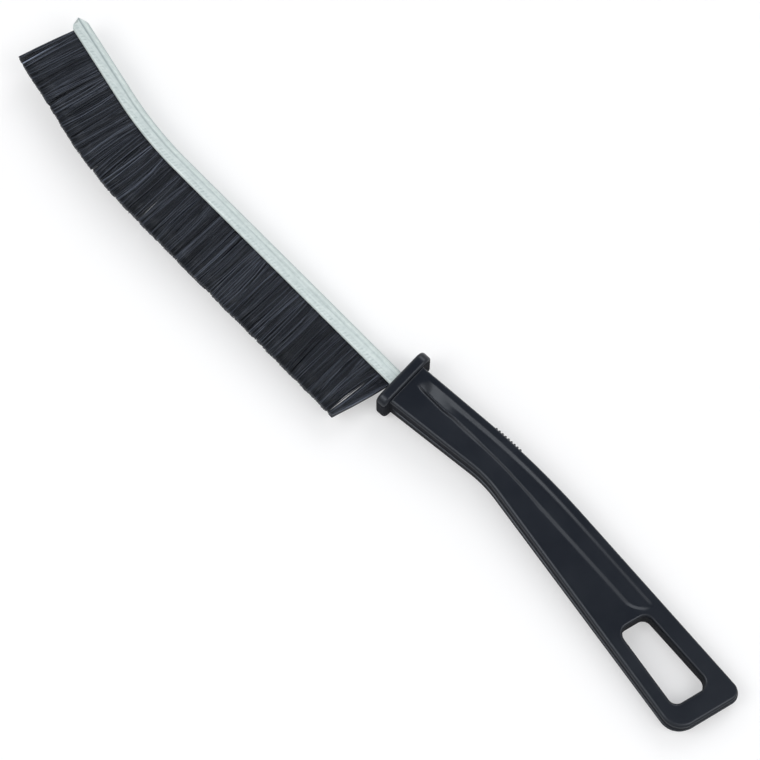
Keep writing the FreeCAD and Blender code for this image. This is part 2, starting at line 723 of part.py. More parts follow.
def lock_section(body):
    """The lock seen along the channel: cut away all but the fold, the pinched root and the spread ends."""
    sketch = new_sketch(body, f"{body.Name}_fold", "YZ_Plane")
    reach = "(sizes.channel_depth + sizes.free_length + sizes.overrun)"
    side = "(sizes.channel_width + sizes.tip_thickness)"
    add_outline(sketch, (
        (reach, side), (f"-{reach}", side), (f"-{reach}", f"-{side}"), (reach, f"-{side}"),
    ))

    root = "(sizes.mouth_width / 2 - sizes.channel_wall - sizes.fill_clearance)"
    lip = "-sizes.channel_depth / 2"
    past_tip = "-sizes.channel_depth / 2 - sizes.free_length - sizes.overrun / 2"
    crown = octagon(FOLD_RADIUS)
    add_outline(sketch, [(WIRE_HEIGHT, FOLD_RADIUS)] + crown[:4] + [
        (WIRE_HEIGHT, f"-{FOLD_RADIUS}"),
        (lip, f"-{root}"),
        (past_tip, "-sizes.tip_thickness / 2"),
        (past_tip, "sizes.tip_thickness / 2"),
        (lip, root),
    ])
    add_outline(sketch, octagon("(sizes.wire_diameter / 2 + sizes.fill_clearance)"))
    through_cut(body, f"{body.Name}_cut", sketch)


def octagon(radius):
    """Corners of an eight-sided ring round the wire. The first four are over the wire."""
    short = f"{radius} * {OCTAGON_SHARE}"
    upper = [(short, radius), (radius, short), (radius, f"-{short}"), (short, f"-{radius}")]
    lower = [(f"-{up}", aside) for up, aside in reversed(upper)]
    return [(f"{WIRE_HEIGHT} + {up}", aside) for up, aside in upper + lower]


pieces = [make_handle(), make_channel(), make_core_wire()]
# The locks lie side by side along the channel, from the guard to the tip
pieces += [make_lock(number) for number in range(1, LOCK_COUNT + 1)]
doc.recompute()

# Set the brush on its lowest face, with the origin under the middle of its box
box = FreeCAD.BoundBox()
for piece in pieces:
    box.add(piece.Shape.optimalBoundingBox(False))
base = FreeCAD.Vector(-box.Center.x, -box.Center.y, -box.ZMin)
for piece in pieces:
    piece.Placement = FreeCAD.Placement(base, FreeCAD.Rotation()) * piece.Placement
doc.recompute()

for item in doc.Objects:
    if "Invalid" in item.State or "Error" in item.State:
        raise RuntimeError(f"{item.Label} did not build")
for piece in pieces:
    if piece.Shape.isNull() or not piece.Shape.isValid():
        raise RuntimeError(f"{piece.Label} has no valid shape")

os.makedirs("parts", exist_ok=True)
for piece in pieces:
    piece.Shape.exportStep(f"parts/{piece.Label}.step")
print(f"{len(pieces)} pieces, box {box.XLength:.1f} x {box.YLength:.1f} x {box.ZLength:.1f}")
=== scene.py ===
"""A crevice brush: its moulded handle, rolled channel and filaments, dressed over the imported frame."""
import math

import bmesh
import bpy
import numpy as np
from bpy.props import FloatProperty, FloatVectorProperty, IntProperty, PointerProperty
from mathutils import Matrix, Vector
from mathutils.geometry import delaunay_2d_cdt


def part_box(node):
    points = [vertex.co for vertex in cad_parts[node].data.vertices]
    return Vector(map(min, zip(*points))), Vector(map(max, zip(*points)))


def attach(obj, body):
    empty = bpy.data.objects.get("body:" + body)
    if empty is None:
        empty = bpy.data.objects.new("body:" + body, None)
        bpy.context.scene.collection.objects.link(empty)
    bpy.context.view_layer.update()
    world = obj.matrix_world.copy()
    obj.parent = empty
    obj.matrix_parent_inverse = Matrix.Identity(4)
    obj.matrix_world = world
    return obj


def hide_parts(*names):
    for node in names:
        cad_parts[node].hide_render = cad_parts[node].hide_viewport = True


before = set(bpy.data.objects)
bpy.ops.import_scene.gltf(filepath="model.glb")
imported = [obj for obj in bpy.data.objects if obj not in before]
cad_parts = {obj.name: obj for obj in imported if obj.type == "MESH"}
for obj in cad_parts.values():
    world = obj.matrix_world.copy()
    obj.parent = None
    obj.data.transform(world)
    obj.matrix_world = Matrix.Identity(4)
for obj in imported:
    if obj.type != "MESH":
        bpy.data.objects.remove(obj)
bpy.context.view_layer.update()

bl_info = {
    "name": "Crevice brush",
    "version": (1, 0, 0),
    "blender": (4, 5, 0),
    "location": "3D View > Sidebar > Brush",
    "description": "Builds the visible pieces of a crevice brush over its packed frame",
    "category": "Add Mesh",
}

MM = 0.001
LOCKS = sorted(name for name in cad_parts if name.startswith("bristle_lock"))
SEED = 11

# How finely the handle's outlines, flute, neck and rounds are divided
OUTLINE_STEP = 0.7 * MM
RIB_STEP = 0.1 * MM
FLUTE_STEP = 0.5 * MM
FLUTE_COLUMNS = 31
NECK_COLUMNS = 24
SUPPORT = 0.05 * MM
ROUND_ANGLES = np.radians((10, 22, 34, 46, 58, 70, 80, 90))
ROUND_STEPS = [(1 - math.cos(angle), 1 - math.sin(angle)) for angle in ROUND_ANGLES]
WALL_SHARES = (1.0, 0.97, 0.8, 0.75, 0.7)
# The grip begins inside the guard, at this share of the guard's thickness
NECK_START_SHARE = 0.5
# The parting ledge: its fall for its width, the steps of that fall, and its fade beside the guard
LEDGE_FALL_SHARE = 0.42
LEDGE_STEPS = (1.0, 0.85, 0.15, 0.0)
PARTING_FADE = 3.0 * MM
# The thumb ribs' slopes are raised by this much, which cuts their tops off flat
RIB_FLATNESS = 1.15
# Faces with less of their direction upwards than this are walls
WALL_STEEPNESS = 0.3
# Places along the flute, with its width, its depth and the width of its lower slope there
FLUTE_SHARES = (0.0, 0.07, 0.12, 0.16, 0.2, 0.25, 0.29, 0.38, 0.46, 0.51, 0.55, 0.64, 0.77, 1.0)
FLUTE_WIDTHS = (0.54, 0.61, 0.67, 0.67, 0.72, 0.75, 0.73, 0.77, 0.83, 0.88, 0.94, 0.96, 0.94, 0.92)
FLUTE_DEPTHS = (2.7, 2.85, 2.6, 1.75, 1.3, 1.22, 1.2, 1.12, 1.0, 0.97, 0.92, 0.84, 0.73, 0.75)
FLUTE_LOWER_SLOPES = np.array((1.2, 1.2, 1.2, 1.5, 1.6, 1.6, 1.0, 0.9, 0.9, 1.1, 1.45, 1.6, 1.6, 1.6)) * MM
FLUTE_SLOPE = 1.6 * MM
FLUTE_MARGIN = 0.55 * MM
FLUTE_END_SLANT = 0.8
# Beside the guard, the flute is a scoop with one wide upper slope, which fades between these shares
SCOOP_SHARES = (0.09, 0.22)
SCOOP_SLOPE = 3.4 * MM
SCOOP_RUN = 5.0 * MM

# Part of the channel inside the guard that is built, and how finely its length and section are divided
HIDDEN_RUN = 3.0 * MM
STATION_STEP = 0.23 * MM
BACK_SHARES = (0.0, 0.35, 0.7)
FOLD_POINTS = 9
WALL_POINTS = 24
CURL_POINTS = 7
INSIDE_STRIDE = 4
# The crimping marks' slant, the middle, ends and fades of their band on the wall, and their strengths
DENT_SLANT = 2.4 * MM
DENT_MIDDLE = 0.3
DENT_BAND = (0.08, 0.38)
DENT_FADES = (0.08, 0.1)
DENT_STRENGTHS = (0.35, 1.0)
SPARE_DENTS = 10
# Place of the crease where the wall turns into the back, from the lip
CREASE_SHARE = 0.585
# Share of the back that gets painted shade, and how dark that shade is in the marks, in the crease from
# guard to tip, and on the back
BACK_SHADE_SHARE = 0.85
BACK_SHADE_FADE = 0.3
DENT_PAINTED_SHADE = 0.35
CREASE_PAINTED_SHADE = (0.25, 0.5)
BACK_PAINTED_SHADE = 0.45
# The cut tip: how far the strip stands out past the end, from the lip to the back
TIP_SHARES = (0.0, 0.17, 0.43, 0.46, 0.60, 0.89, 1.0)
TIP_GROWTH = tuple(growth * MM for growth in (-1.35, -0.2, -0.35, -0.1, 0.95, -1.1, -1.95))
TIP_STRETCH = 4.0 * MM

# Places along a filament, from inside the channel to its free end
FILAMENT_PARTS = np.array((-0.12, 0.3, 0.65, 1.0))
FILAMENT_SIDES = 5
LOCK_WIDTHS = (1.3 * MM, 3.4 * MM)
# The last lock at the tip, which stands apart from the others
LAST_LOCK = 0.8 * MM
LAST_LOCK_LEAN = math.radians(3.4)
# Stretch at both ends of the fill where the locks stand evenly
CALM_ENDS = 5.0 * MM
# The lean changes over a stretch at the tip that is this much longer than the one beside the guard
TIP_FADE_RATIO = 4
# How much locks, and single filaments in them, differ in length, bow and spread
RAGGED_SHARES = (0.8, 0.3)
BOWS = (0.25 * MM, 0.12 * MM)
SPREADS = (0.12 * MM, 0.06 * MM)
# How much the filaments of a lock draw together, more and more towards their free ends
GATHER_SHARE = 0.25
GATHER_POWER = 1.5
# How pale the filaments that are painted paler as glints can be, how rare they are, and how the locks
# differ
GLINT_TONE = 0.2
GLINT_RARITY = 4
LOCK_TONES = (0.7, 1.3)
# The filament painted pale on top of the fill beside the last lock, among this many, and its tones along it
BESIDE_LAST_LOCK = 24
PALE_STREAK_TONES = (0.0, 0.0, 0.5, 1.0)
# Edge left free round each filament's patch of the map
PATCH_MARGIN = 0.05

# Black polypropylene; the blue tint of its shine is painted in, in place of bluish light
POLYPROPYLENE = {"IOR": 1.49, "Specular Tint": (0.86, 0.92, 1.0)}
# Options of the nodes that blend two colours and that multiply
BLEND = {"data_type": "RGBA"}
MULTIPLY = {"operation": "MULTIPLY"}

# Points this near the handle's lowest one touch the table, and the tail begins this far behind them
TOUCH = 0.01 * MM
TAIL_BEYOND = 20 * MM
TABLE_HALF = 1.5
PLAIN_WHITE_SHARE = 0.35
# Light of the tent from its foot, over its walls, to the dark card
TENT_TONES = (
    (0.0, (0.45, 0.45, 0.45)),
    (0.35, (0.84, 0.84, 0.84)),
    (0.85, (0.84, 0.84, 0.84)),
    (0.96, (0.16, 0.19, 0.25)),
)
# Azimuth and elevation of each soft box, in degrees
SOFT_BOXES = {"left": (-28, 57), "right": (105, 57), "back": (198, 47)}
SOFT_BOX_SIZE = 0.45
SENSOR_MILLIMETRES = 36.0
CLIP_START = 0.01


def linear(code):
    """Linear colour of an sRGB hex value."""
    levels = [int(code[place:place + 2], 16) / 255 for place in (1, 3, 5)]
    return tuple(v / 12.92 if v <= 0.04045 else ((v + 0.055) / 1.055) ** 2.4 for v in levels)


def length(millimetres, note):
    """A length setting, written in millimetres and kept in metres."""
    return FloatProperty(description=note, default=millimetres * MM, unit="LENGTH", precision=5)


def turn(degrees, note):
    """An angle setting, written in degrees."""
    return FloatProperty(description=note, default=math.radians(degrees), subtype="ANGLE")


def share(value, note):
    """A plain number without a unit."""
    return FloatProperty(description=note, default=value)


def colour(code, note):
    """A colour setting, written as an sRGB hex value."""
    return FloatVectorProperty(description=note, default=linear(code), subtype="COLOR", size=3)


class HandleSizes(bpy.types.PropertyGroup):
    """Sizes of the handle. Along is from the guard's front, up is from the channel's middle line."""

    guard_thickness: length(3.6, "Front to rear face of the guard")
    guard_height: length(20.4, "Guard from its lower to its upper end")
    guard_rise: length(0.4, "Middle of the guard over the channel's middle line")
    guard_width: length(13.6, "Guard across the brush's thickness")
    guard_corner: length(3.0, "Radius of the guard's four corners")
    guard_round: length(1.0, "Radius of the round along the guard's rims")
    guard_tilt: turn(3.6, "Turn of the guard from square to the channel")
    root_fillet: length(0.25, "Radius of the fillet where the neck leaves the guard")
    neck_top: length(7.2, "Back edge of the neck at the guard")
    neck_bottom: length(7.3, "Lower edge of the neck at the guard")
    crest_along: length(45.8, "Corner of the back edge")
    crest_up: length(11.0, "Corner of the back edge")
    crest_radius: length(270.0, "Round of the back edge's corner")
    knee_along: length(38.8, "Corner of the lower edge")
    knee_down: length(2.85, "Corner of the lower edge, below the middle line")
    knee_radius: length(40.0, "Round of the lower edge's corner")
    tail_top_along: length(133.0, "Upper corner of the tail")
    tail_top_up: length(5.8, "Upper corner of the tail")
    tail_top_radius: length(3.2, "Round of the tail's upper corner")
    tail_bottom_along: length(127.8, "Lower corner of the tail")
    tail_bottom_down: length(16.35, "Lower corner of the tail, below the middle line")
    tail_bottom_radius: length(6.2, "Round of the tail's lower corner")
    neck_thickness: length(10.8, "Thickness of the grip at the guard")
    tail_thickness: length(7.0, "Thickness of the grip at the tail")
    edge_round: length(1.0, "Height of the round along the grip's edges")
    edge_reach: length(1.3, "Reach of that round over the faces, along the lower edge")
    back_reach: length(0.5, "Reach of that round over the faces, along the back edge")
    parting_ledge: length(0.4, "Ledge where the mould's lower half stands out of the walls")
    parting_height: length(0.6, "Ledge over the middle of the thickness")
    slot_length: length(26.0, "Length of the hanging slot")
    upper_rim: length(5.5, "Slot to the back edge")
    lower_rim: length(4.6, "Slot to the lower edge")
    tail_rim: length(6.9, "Slot to the tail's end")
    slot_corner: length(2.7, "Radius of the slot's corners")
    slot_round: length(0.8, "Radius of the round along the slot's rims")
    flute_start: length(1.2, "Start of the finger flute, from the guard's root")
    flute_end: length(94.5, "End of the finger flute, from the guard's root")
    flute_inset: length(1.95, "Upper edge of the flute to the grip's back edge")
    flute_width: length(7.1, "Width of the flute")
    flute_depth: length(0.42, "Depth of the flute")
    rib_count: IntProperty(description="Thumb ribs on the back edge", default=9)
    rib_pitch: length(1.15, "Spacing of the thumb ribs")
    rib_height: length(0.42, "Height of the thumb ribs")
    rib_length: length(8.4, "Length of a rib across the back edge")
    rib_row_ahead: length(10.1, "Middle of the row to the middle of the crest")


class ChannelSizes(bpy.types.PropertyGroup):
    """Sizes of the rolled channel and of the line that it follows from the guard."""

    straight_run: length(106.9, "Guard to the corner of the bend")
    tip_run: length(42.4, "Corner of the bend to the tip")
    bend_angle: turn(12.0, "Turn of the tip from the straight part")
    bend_radius: length(133.0, "Radius of the bend")
    tang_length: length(24.0, "Part of the channel inside the handle")
    width: length(4.6, "Outside width, across the brush's thickness")
    depth: length(5.1, "Lips to back")
    wall: length(0.5, "Thickness of the strip")
    back_round: length(2.0, "Radius of the folds along the back")
    mouth: length(3.7, "Outside width across the two lips")
    lip_curl: length(0.9, "Depth over which the lips turn in")
    dent_pitch: length(1.15, "Spacing of the crimping marks")
    dent_depth: length(0.09, "Depth of a crimping mark")
    dent_width: length(0.2, "Half width of a crimping mark")
    crease_depth: length(0.08, "Depth of the crease along each wall")
    crease_width: length(0.21, "Half width of the crease along each wall")


class FillSizes(bpy.types.PropertyGroup):
    """Sizes of the filament fill."""

    filaments: IntProperty(description="Filaments that show", default=5900)
    diameter: length(0.28, "Diameter of a filament")
    free_length: length(18.6, "Filament outside the channel")
    ragged_length: length(0.35, "Most that a lock is shorter than the longest one")
    root_thickness: length(2.5, "Fill across the mouth of the channel")
    tip_thickness: length(4.0, "Fill across its free ends")
    guard_gap: length(0.9, "Guard to the first filament")
    tip_inset: length(1.4, "Last filament to the end of the channel")
    lean_fade: length(14.0, "Stretch beside the guard where the filaments lean over")
    body_lean: turn(2.5, "Lean of the fill towards the handle")
    guard_lean: turn(-17.0, "Lean of the fill beside the guard")
    tip_lean: turn(0.4, "Lean of the fill at the tip")
    lock_scatter: turn(1.5, "How much the lean differs from lock to lock")
    lone_scatter: turn(0.8, "How much the lean differs inside a lock")


class StageSettings(bpy.types.PropertyGroup):
    """Camera and light."""

    azimuth: turn(46.2, "Direction of the camera, turned from the brush's lower edge")
    elevation: turn(73.0, "Height of the camera over the table")
    distance: length(750.0, "Camera to the point that it looks at")
    aim_along: length(-3.87, "Point that the camera looks at, from the guard's front")
    aim_up: length(-3.4, "Point that the camera looks at, from the channel's middle line")
    lens: share(122.5, "Focal length in millimetres on a 36 mm frame")
    tent: share(0.97, "Brightness of the light tent round the table")
    left_box: share(2.2, "Power of the soft box on the filaments' side")
    right_box: share(1.8, "Power of the soft box on the handle's side")
    back_box: share(1.4, "Power of the soft box behind the channel's back")


class BrushColours(bpy.types.PropertyGroup):
    """Colours of the finishes."""

    handle: colour("#090C13", "Black polypropylene")
    handle_worn: colour("#0E121A", "Where the plastic is rubbed")
    steel: colour("#DFE7E5", "Zinc on the channel")
    steel_dull: colour("#CAD4D3", "Duller grains of the zinc")
    # Colour of the painted shade in the channel's hollows and along its back
    steel_painted_shade: colour("#86979A", "Hollows and back of the channel")
    wire: colour("#A3A6A8", "Drawn steel of the core wire")
    filament: colour("#080B13", "Black filament")
    # Pale tone for the filaments that are painted paler as glints, and for the one painted pale beside the
    # last lock
    filament_pale: colour("#AAB5CB", "Bleached filament")
    table: colour("#FCFCFC", "Matt white table")
    table_mottle: colour("#FAFAFB", "Mottle of the table's paper")


class BrushSettings(bpy.types.PropertyGroup):
    """All settings of the brush."""

    handle: PointerProperty(type=HandleSizes)
    channel: PointerProperty(type=ChannelSizes)
    fill: PointerProperty(type=FillSizes)
    stage: PointerProperty(type=StageSettings)
    colours: PointerProperty(type=BrushColours)


# Lines and rows of points

def unit(vectors):
    """Vectors of length one."""
    return vectors / np.linalg.norm(vectors, axis=-1, keepdims=True)


def soft_step(value):
    """A step from 0 to 1 that starts and ends flat."""
    part = np.clip(value, 0.0, 1.0)
    return part * part * (3.0 - 2.0 * part)


def straight(start, end, step):
    """Points along a straight line, about one step apart, without its start."""
    count = max(1, math.ceil(np.linalg.norm(end - start) / step))
    return start + (end - start) * (np.arange(1, count + 1) / count)[:, None]


def corner_arc(before, corner, after, radius, step):
    """Points of the round between two straight runs that would meet at a corner."""
    arrive, leave = unit(corner - before), unit(after - corner)
    angle = math.atan2(arrive[0] * leave[1] - arrive[1] * leave[0], arrive @ leave)
    left = np.array((-arrive[1], arrive[0])) * math.copysign(radius, angle)
    centre = corner - arrive * radius * math.tan(abs(angle) / 2) + left
    count = max(10, math.ceil(abs(angle) * radius / step))
    turned = np.linspace(0.0, angle, count + 1)
    across = np.column_stack((np.cos(turned), -np.sin(turned))) @ -left
    upward = np.column_stack((np.sin(turned), np.cos(turned))) @ -left
    return centre + np.column_stack((across, upward))


def rounded_line(corners, radii, step, closed=False):
    """Points along a line of corners, where each corner is rounded by its radius."""
    corners = [np.array(corner, float) for corner in corners]
    if closed:
        corners = [corners[-1], *corners, corners[0]]
    points = np.empty((0, 2)) if closed else corners[0][None]
    for before, corner, after, radius in zip(corners, corners[1:], corners[2:], radii):
        arc = corner_arc(before, corner, after, radius, step)
        if len(points):
            points = np.vstack((points, straight(points[-1], arc[0], step), arc[1:]))
        else:
            points = arc
    end = points[0] if closed else corners[-1]
    points = np.vstack((points, straight(points[-1], end, step)))
    return points[:-1] if closed else points


def left_of(points, closed=False):
    """Directions square to a line, to its left."""
    if closed:
        run = np.roll(points, -1, axis=0) - np.roll(points, 1, axis=0)
    else:
        run = np.gradient(points, distances(points), axis=0)
    return unit(np.column_stack((-run[:, 1], run[:, 0])))


def distances(points):
    """Distance of each point from the first one, along the line."""
    steps = np.linalg.norm(np.diff(points, axis=0), axis=1)
    return np.concatenate(((0.0,), np.cumsum(steps)))


def points_at(place, places, points):
    """Points of a line, or its directions, at a place along it or at several."""
    return np.stack([np.interp(place, places, points[:, axis]) for axis in (0, 1)], axis=-1)


def put(name, data):
    """Add an object with this mesh, lamp or camera to the scene."""
    item = bpy.data.objects.new(name, data)
    bpy.context.scene.collection.objects.link(item)
    return item


class Skin:
    """Points and faces of a piece while it is built."""

    def __init__(self):
        self.points = np.empty((0, 3))
        self.faces = []

    def add(self, points):
        """Add points, and give their numbers."""
        start = len(self.points)
        self.points = np.vstack((self.points, points))
        return np.arange(start, len(self.points))

    def bands(self, rows, closed=False):
        """Faces between each row of points and the next one."""
        if closed:
            rows = [np.append(row, row[0]) for row in rows]
        for row, following in zip(rows, rows[1:]):
            self.faces += np.column_stack((row[:-1], row[1:], following[1:], following[:-1])).tolist()

    def flat_face(self, rims, flatten, inside=()):
        """Fill a face inside its first rim and round its second, through the points inside it."""
        numbers = np.concatenate([*rims, inside]).astype(int)
        plane = [Vector(pair) for pair in flatten(self.points[numbers]) / MM]
        edges = []
        start = 0
        for rim in rims:
            ring = list(range(start, start + len(rim)))
            edges += zip(ring, ring[1:] + ring[:1])
            start += len(rim)
        spots, _, faces, sources, _, _ = delaunay_2d_cdt(plane, edges, [], 1, 1e-6)
        if len(spots) != len(numbers):
            raise RuntimeError("a flat face has points on top of each other")
        hole = set(rims[1].tolist())
        for face in faces:
            corners = [int(numbers[sources[spot][0]]) for spot in face]
            if not hole.issuperset(corners):
                self.faces.append(corners)

    def make(self, name, origin, material):
        """Turn the skin into an object of the scene, with its faces looking outwards."""
        mesh = bpy.data.meshes.new(name)
        mesh.from_pydata((self.points + origin).tolist(), [], self.faces)
        sheet = bmesh.new()
        sheet.from_mesh(mesh)
        bmesh.ops.recalc_face_normals(sheet, faces=sheet.faces)
        sheet.to_mesh(mesh)
        sheet.free()
        mesh.shade_smooth()
        mesh.materials.append(material)
        return put(name, mesh)


def brush_origin(settings):
    """The point on the channel's middle line in the guard's front, which the sizes are measured from."""
    low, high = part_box("channel")
    bottom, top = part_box("handle")
    channel = settings.channel
    return np.array((high.x - channel.tang_length, low.y + channel.depth / 2, (bottom.z + top.z) / 2))


# Finishes

def add_node(tree, kind, options=None, feeds=None):
    """Add a shader node with its options, and feed its inputs values, outputs or nodes' first outputs."""
    node = tree.nodes.new("ShaderNode" + kind)
    for name, value in (options or {}).items():
        setattr(node, name, value)
    for name, value in (feeds or {}).items():
        socket = node.inputs[name]
        if isinstance(value, bpy.types.Node):
            value = next(output for output in value.outputs if output.enabled)
        if isinstance(value, bpy.types.NodeSocket):
            tree.links.new(value, socket)
        else:
            socket.default_value = (*value, 1.0) if socket.type == "RGBA" else value
    return node


def new_finish(name):
    """A material with an empty surface, and the place of each point on the piece."""
    material = bpy.data.materials.new(name)
    material.use_nodes = True
    tree = material.node_tree
    tree.nodes.clear()
    return material, tree, add_node(tree, "TexCoord").outputs["Object"]


def coat(tree, feeds):
    """Give a material its surface shader."""
    surface = add_node(tree, "BsdfPrincipled", feeds=feeds)
    add_node(tree, "OutputMaterial", feeds={"Surface": surface})


def per_metre(millimetres):
    """Scale of a pattern whose grains are this large."""
    return 1 / (millimetres * MM)


def moulded_polypropylene(colours):
    """Black polypropylene from a satin mould: soft highlights in a fine grain, and dull rubbed spots."""
    material, tree, place = new_finish("moulded_polypropylene_satin")
    rubbed = add_node(tree, "TexNoise", feeds={
        "Vector": place, "Scale": per_metre(14), "Detail": 4.0, "Roughness": 0.6})
    tint = add_node(tree, "Mix", BLEND, {0: rubbed, 6: colours.handle, 7: colours.handle_worn})
    gloss = add_node(tree, "MapRange", feeds={
        "Value": rubbed, "From Min": 0.3, "From Max": 0.7, "To Min": 0.28, "To Max": 0.36})
    # The mould's real grain is about 0.05 mm, too fine to show, so it is drawn at 0.45 mm
    grain = add_node(tree, "TexNoise", feeds={"Vector": place, "Scale": per_metre(0.45), "Detail": 2.0})
    bump = add_node(tree, "Bump", feeds={"Height": grain, "Strength": 0.12, "Distance": 0.02 * MM})
    coat(tree, {**POLYPROPYLENE, "Base Color": tint, "Roughness": gloss, "Normal": bump})
    return material


def drawn_polypropylene(colours):
    """Walls that slid along the mould as it opened: finely scored upwards, which takes their shine."""
    material, tree, place = new_finish("moulded_polypropylene_scored_walls")
    # Real scores are about 0.03 mm apart, too fine to show, so they are drawn 0.3 mm apart
    upright = add_node(tree, "VectorMath", MULTIPLY, {0: place, 1: (1.0, 1.0, 0.1)})
    scores = add_node(tree, "TexNoise", feeds={"Vector": upright, "Scale": per_metre(0.3), "Detail": 2.0})
    tint = add_node(tree, "Mix", BLEND, {0: scores, 6: colours.handle, 7: colours.handle_worn})
    dull = add_node(tree, "MapRange", feeds={"Value": scores, "To Min": 0.7, "To Max": 0.95})
    coat(tree, {**POLYPROPYLENE, "Specular IOR Level": 0.15, "Base Color": tint, "Roughness": dull})
    return material


def galvanised_steel(colours):
    """Zinc-coated strip, rolled to a channel: pale grey-green, with small grains and faint lines."""
    material, tree, place = new_finish("galvanised_steel_rolled")
    grains = add_node(tree, "TexVoronoi", {"feature": "SMOOTH_F1"}, {
        "Vector": place, "Scale": per_metre(0.8), "Smoothness": 0.8})
    stretch = add_node(tree, "VectorMath", MULTIPLY, {0: place, 1: (0.06, 1.0, 1.0)})
    lines = add_node(tree, "TexNoise", feeds={"Vector": stretch, "Scale": per_metre(0.5), "Detail": 3.0})
    mixed = add_node(tree, "Math", {"operation": "MULTIPLY_ADD"}, {
        0: grains.outputs["Color"], 1: 0.35, 2: lines})
    dull = add_node(tree, "MapRange", feeds={"Value": mixed, "From Min": 0.4, "From Max": 1.0})
    grained = add_node(tree, "Mix", BLEND, {0: dull, 6: colours.steel, 7: colours.steel_dull})
    # Painted shade in the crease and the crimping marks, and along the back
    hollow = add_node(tree, "Attribute", {"attribute_name": "hollow"})
    tint = add_node(tree, "Mix", BLEND, {0: hollow.outputs["Fac"], 6: grained, 7: colours.steel_painted_shade})
    gloss = add_node(tree, "MapRange", feeds={
        "Value": mixed, "From Min": 0.4, "From Max": 1.1, "To Min": 0.6, "To Max": 0.74})
    bump = add_node(tree, "Bump", feeds={"Height": lines, "Strength": 0.15, "Distance": 0.02 * MM})
    coat(tree, {"Metallic": 1.0, "Base Color": tint, "Roughness": gloss, "Normal": bump})
    return material


def extruded_filament(colours):
    """Extruded black filament: glossy round strands, a few of them painted paler as glints, and one painted
    pale.
    """
    material, tree, place = new_finish("polypropylene_filament_extruded")
    tone = add_node(tree, "Attribute", {"attribute_name": "tone"})
    tint = add_node(tree, "Mix", BLEND, {
        0: tone.outputs["Fac"], 6: colours.filament, 7: colours.filament_pale})
    scuffs = add_node(tree, "TexNoise", feeds={"Vector": place, "Scale": per_metre(1.5), "Detail": 2.0})
    gloss = add_node(tree, "MapRange", feeds={"Value": scuffs, "To Min": 0.28, "To Max": 0.45})
    coat(tree, {**POLYPROPYLENE, "Base Color": tint, "Roughness": gloss})
    return material


def drawn_steel(colours):
    """Drawn steel wire: bright, with fine lines along it from the die."""
    material, tree, place = new_finish("drawn_steel_wire")
    stretch = add_node(tree, "VectorMath", MULTIPLY, {0: place, 1: (0.05, 1.0, 1.0)})
    lines = add_node(tree, "TexNoise", feeds={"Vector": stretch, "Scale": per_metre(0.2), "Detail": 3.0})
    tint = add_node(tree, "Mix", BLEND, {0: lines, 6: colours.wire, 7: colours.steel_dull})
    gloss = add_node(tree, "MapRange", feeds={"Value": lines, "To Min": 0.25, "To Max": 0.45})
    coat(tree, {"Metallic": 1.0, "Base Color": tint, "Roughness": gloss})
    return material


# Handle

def neck_plane(sizes):
    """Directions along the neck and up the guard, which the guard is square to."""
    along = np.array((math.cos(sizes.guard_tilt), math.sin(sizes.guard_tilt)))
    return along, np.array((-along[1], along[0]))


def meet_plane(start, end, along, depth):
    """Where a line crosses the plane at this depth behind the guard's front."""
    start, end = np.array(start), np.array(end)
    return start + (end - start) * (depth - start @ along) / ((end - start) @ along)


def grip_corners(sizes):
    """The grip's corners: the crest, the tail's upper and lower corner, and the knee."""
    return np.array((
        (sizes.crest_along, sizes.crest_up),
        (sizes.tail_top_along, sizes.tail_top_up),
        (sizes.tail_bottom_along, -sizes.tail_bottom_down),
        (sizes.knee_along, -sizes.knee_down)))


def grip_line(sizes):
    """The grip's edge: along its back from the neck, round the tail and back under it to the neck."""
    along, _ = neck_plane(sizes)
    root = sizes.guard_thickness + sizes.root_fillet + SUPPORT
    start = NECK_START_SHARE * sizes.guard_thickness
    inner = grip_corners(sizes)
    corners = (
        meet_plane((start, sizes.neck_top), inner[0], along, root),
        *inner,
        meet_plane((start, -sizes.neck_bottom), inner[-1], along, root),
    )
    radii = (sizes.crest_radius, sizes.tail_top_radius, sizes.tail_bottom_radius, sizes.knee_radius)
    points = rounded_line(corners, radii, OUTLINE_STEP)
    places = distances(points)
    first = rib_row_start(sizes)
    fine = np.arange(first, first + sizes.rib_pitch * sizes.rib_count, RIB_STEP)
    return points_at(np.union1d(places, fine), places, points)


def rib_row_start(sizes):
    """Distance along the back edge from the neck to the first thumb rib."""
    neck = sizes.guard_thickness + sizes.root_fillet
    crest = math.hypot(sizes.crest_along - neck, sizes.crest_up - sizes.neck_top)
    return crest - sizes.rib_row_ahead - sizes.rib_pitch * sizes.rib_count / 2


def rib_bumps(sizes, places):
    """How far the thumb ribs stand out of the back edge, at distances along it."""
    into_row = (places - rib_row_start(sizes)) / sizes.rib_pitch
    inside = (into_row > 0) & (into_row < sizes.rib_count)
    peak = 1 - np.abs(2 * (into_row % 1) - 1)
    return np.where(inside, soft_step(peak * RIB_FLATNESS) * sizes.rib_height, 0.0)


def half_thickness(sizes, along):
    """Half of the grip's thickness, which thins from the neck to the tail."""
    start = NECK_START_SHARE * sizes.guard_thickness
    part = (along - start) / (sizes.tail_top_along - start)
    return (sizes.neck_thickness + (sizes.tail_thickness - sizes.neck_thickness) * part) / 2


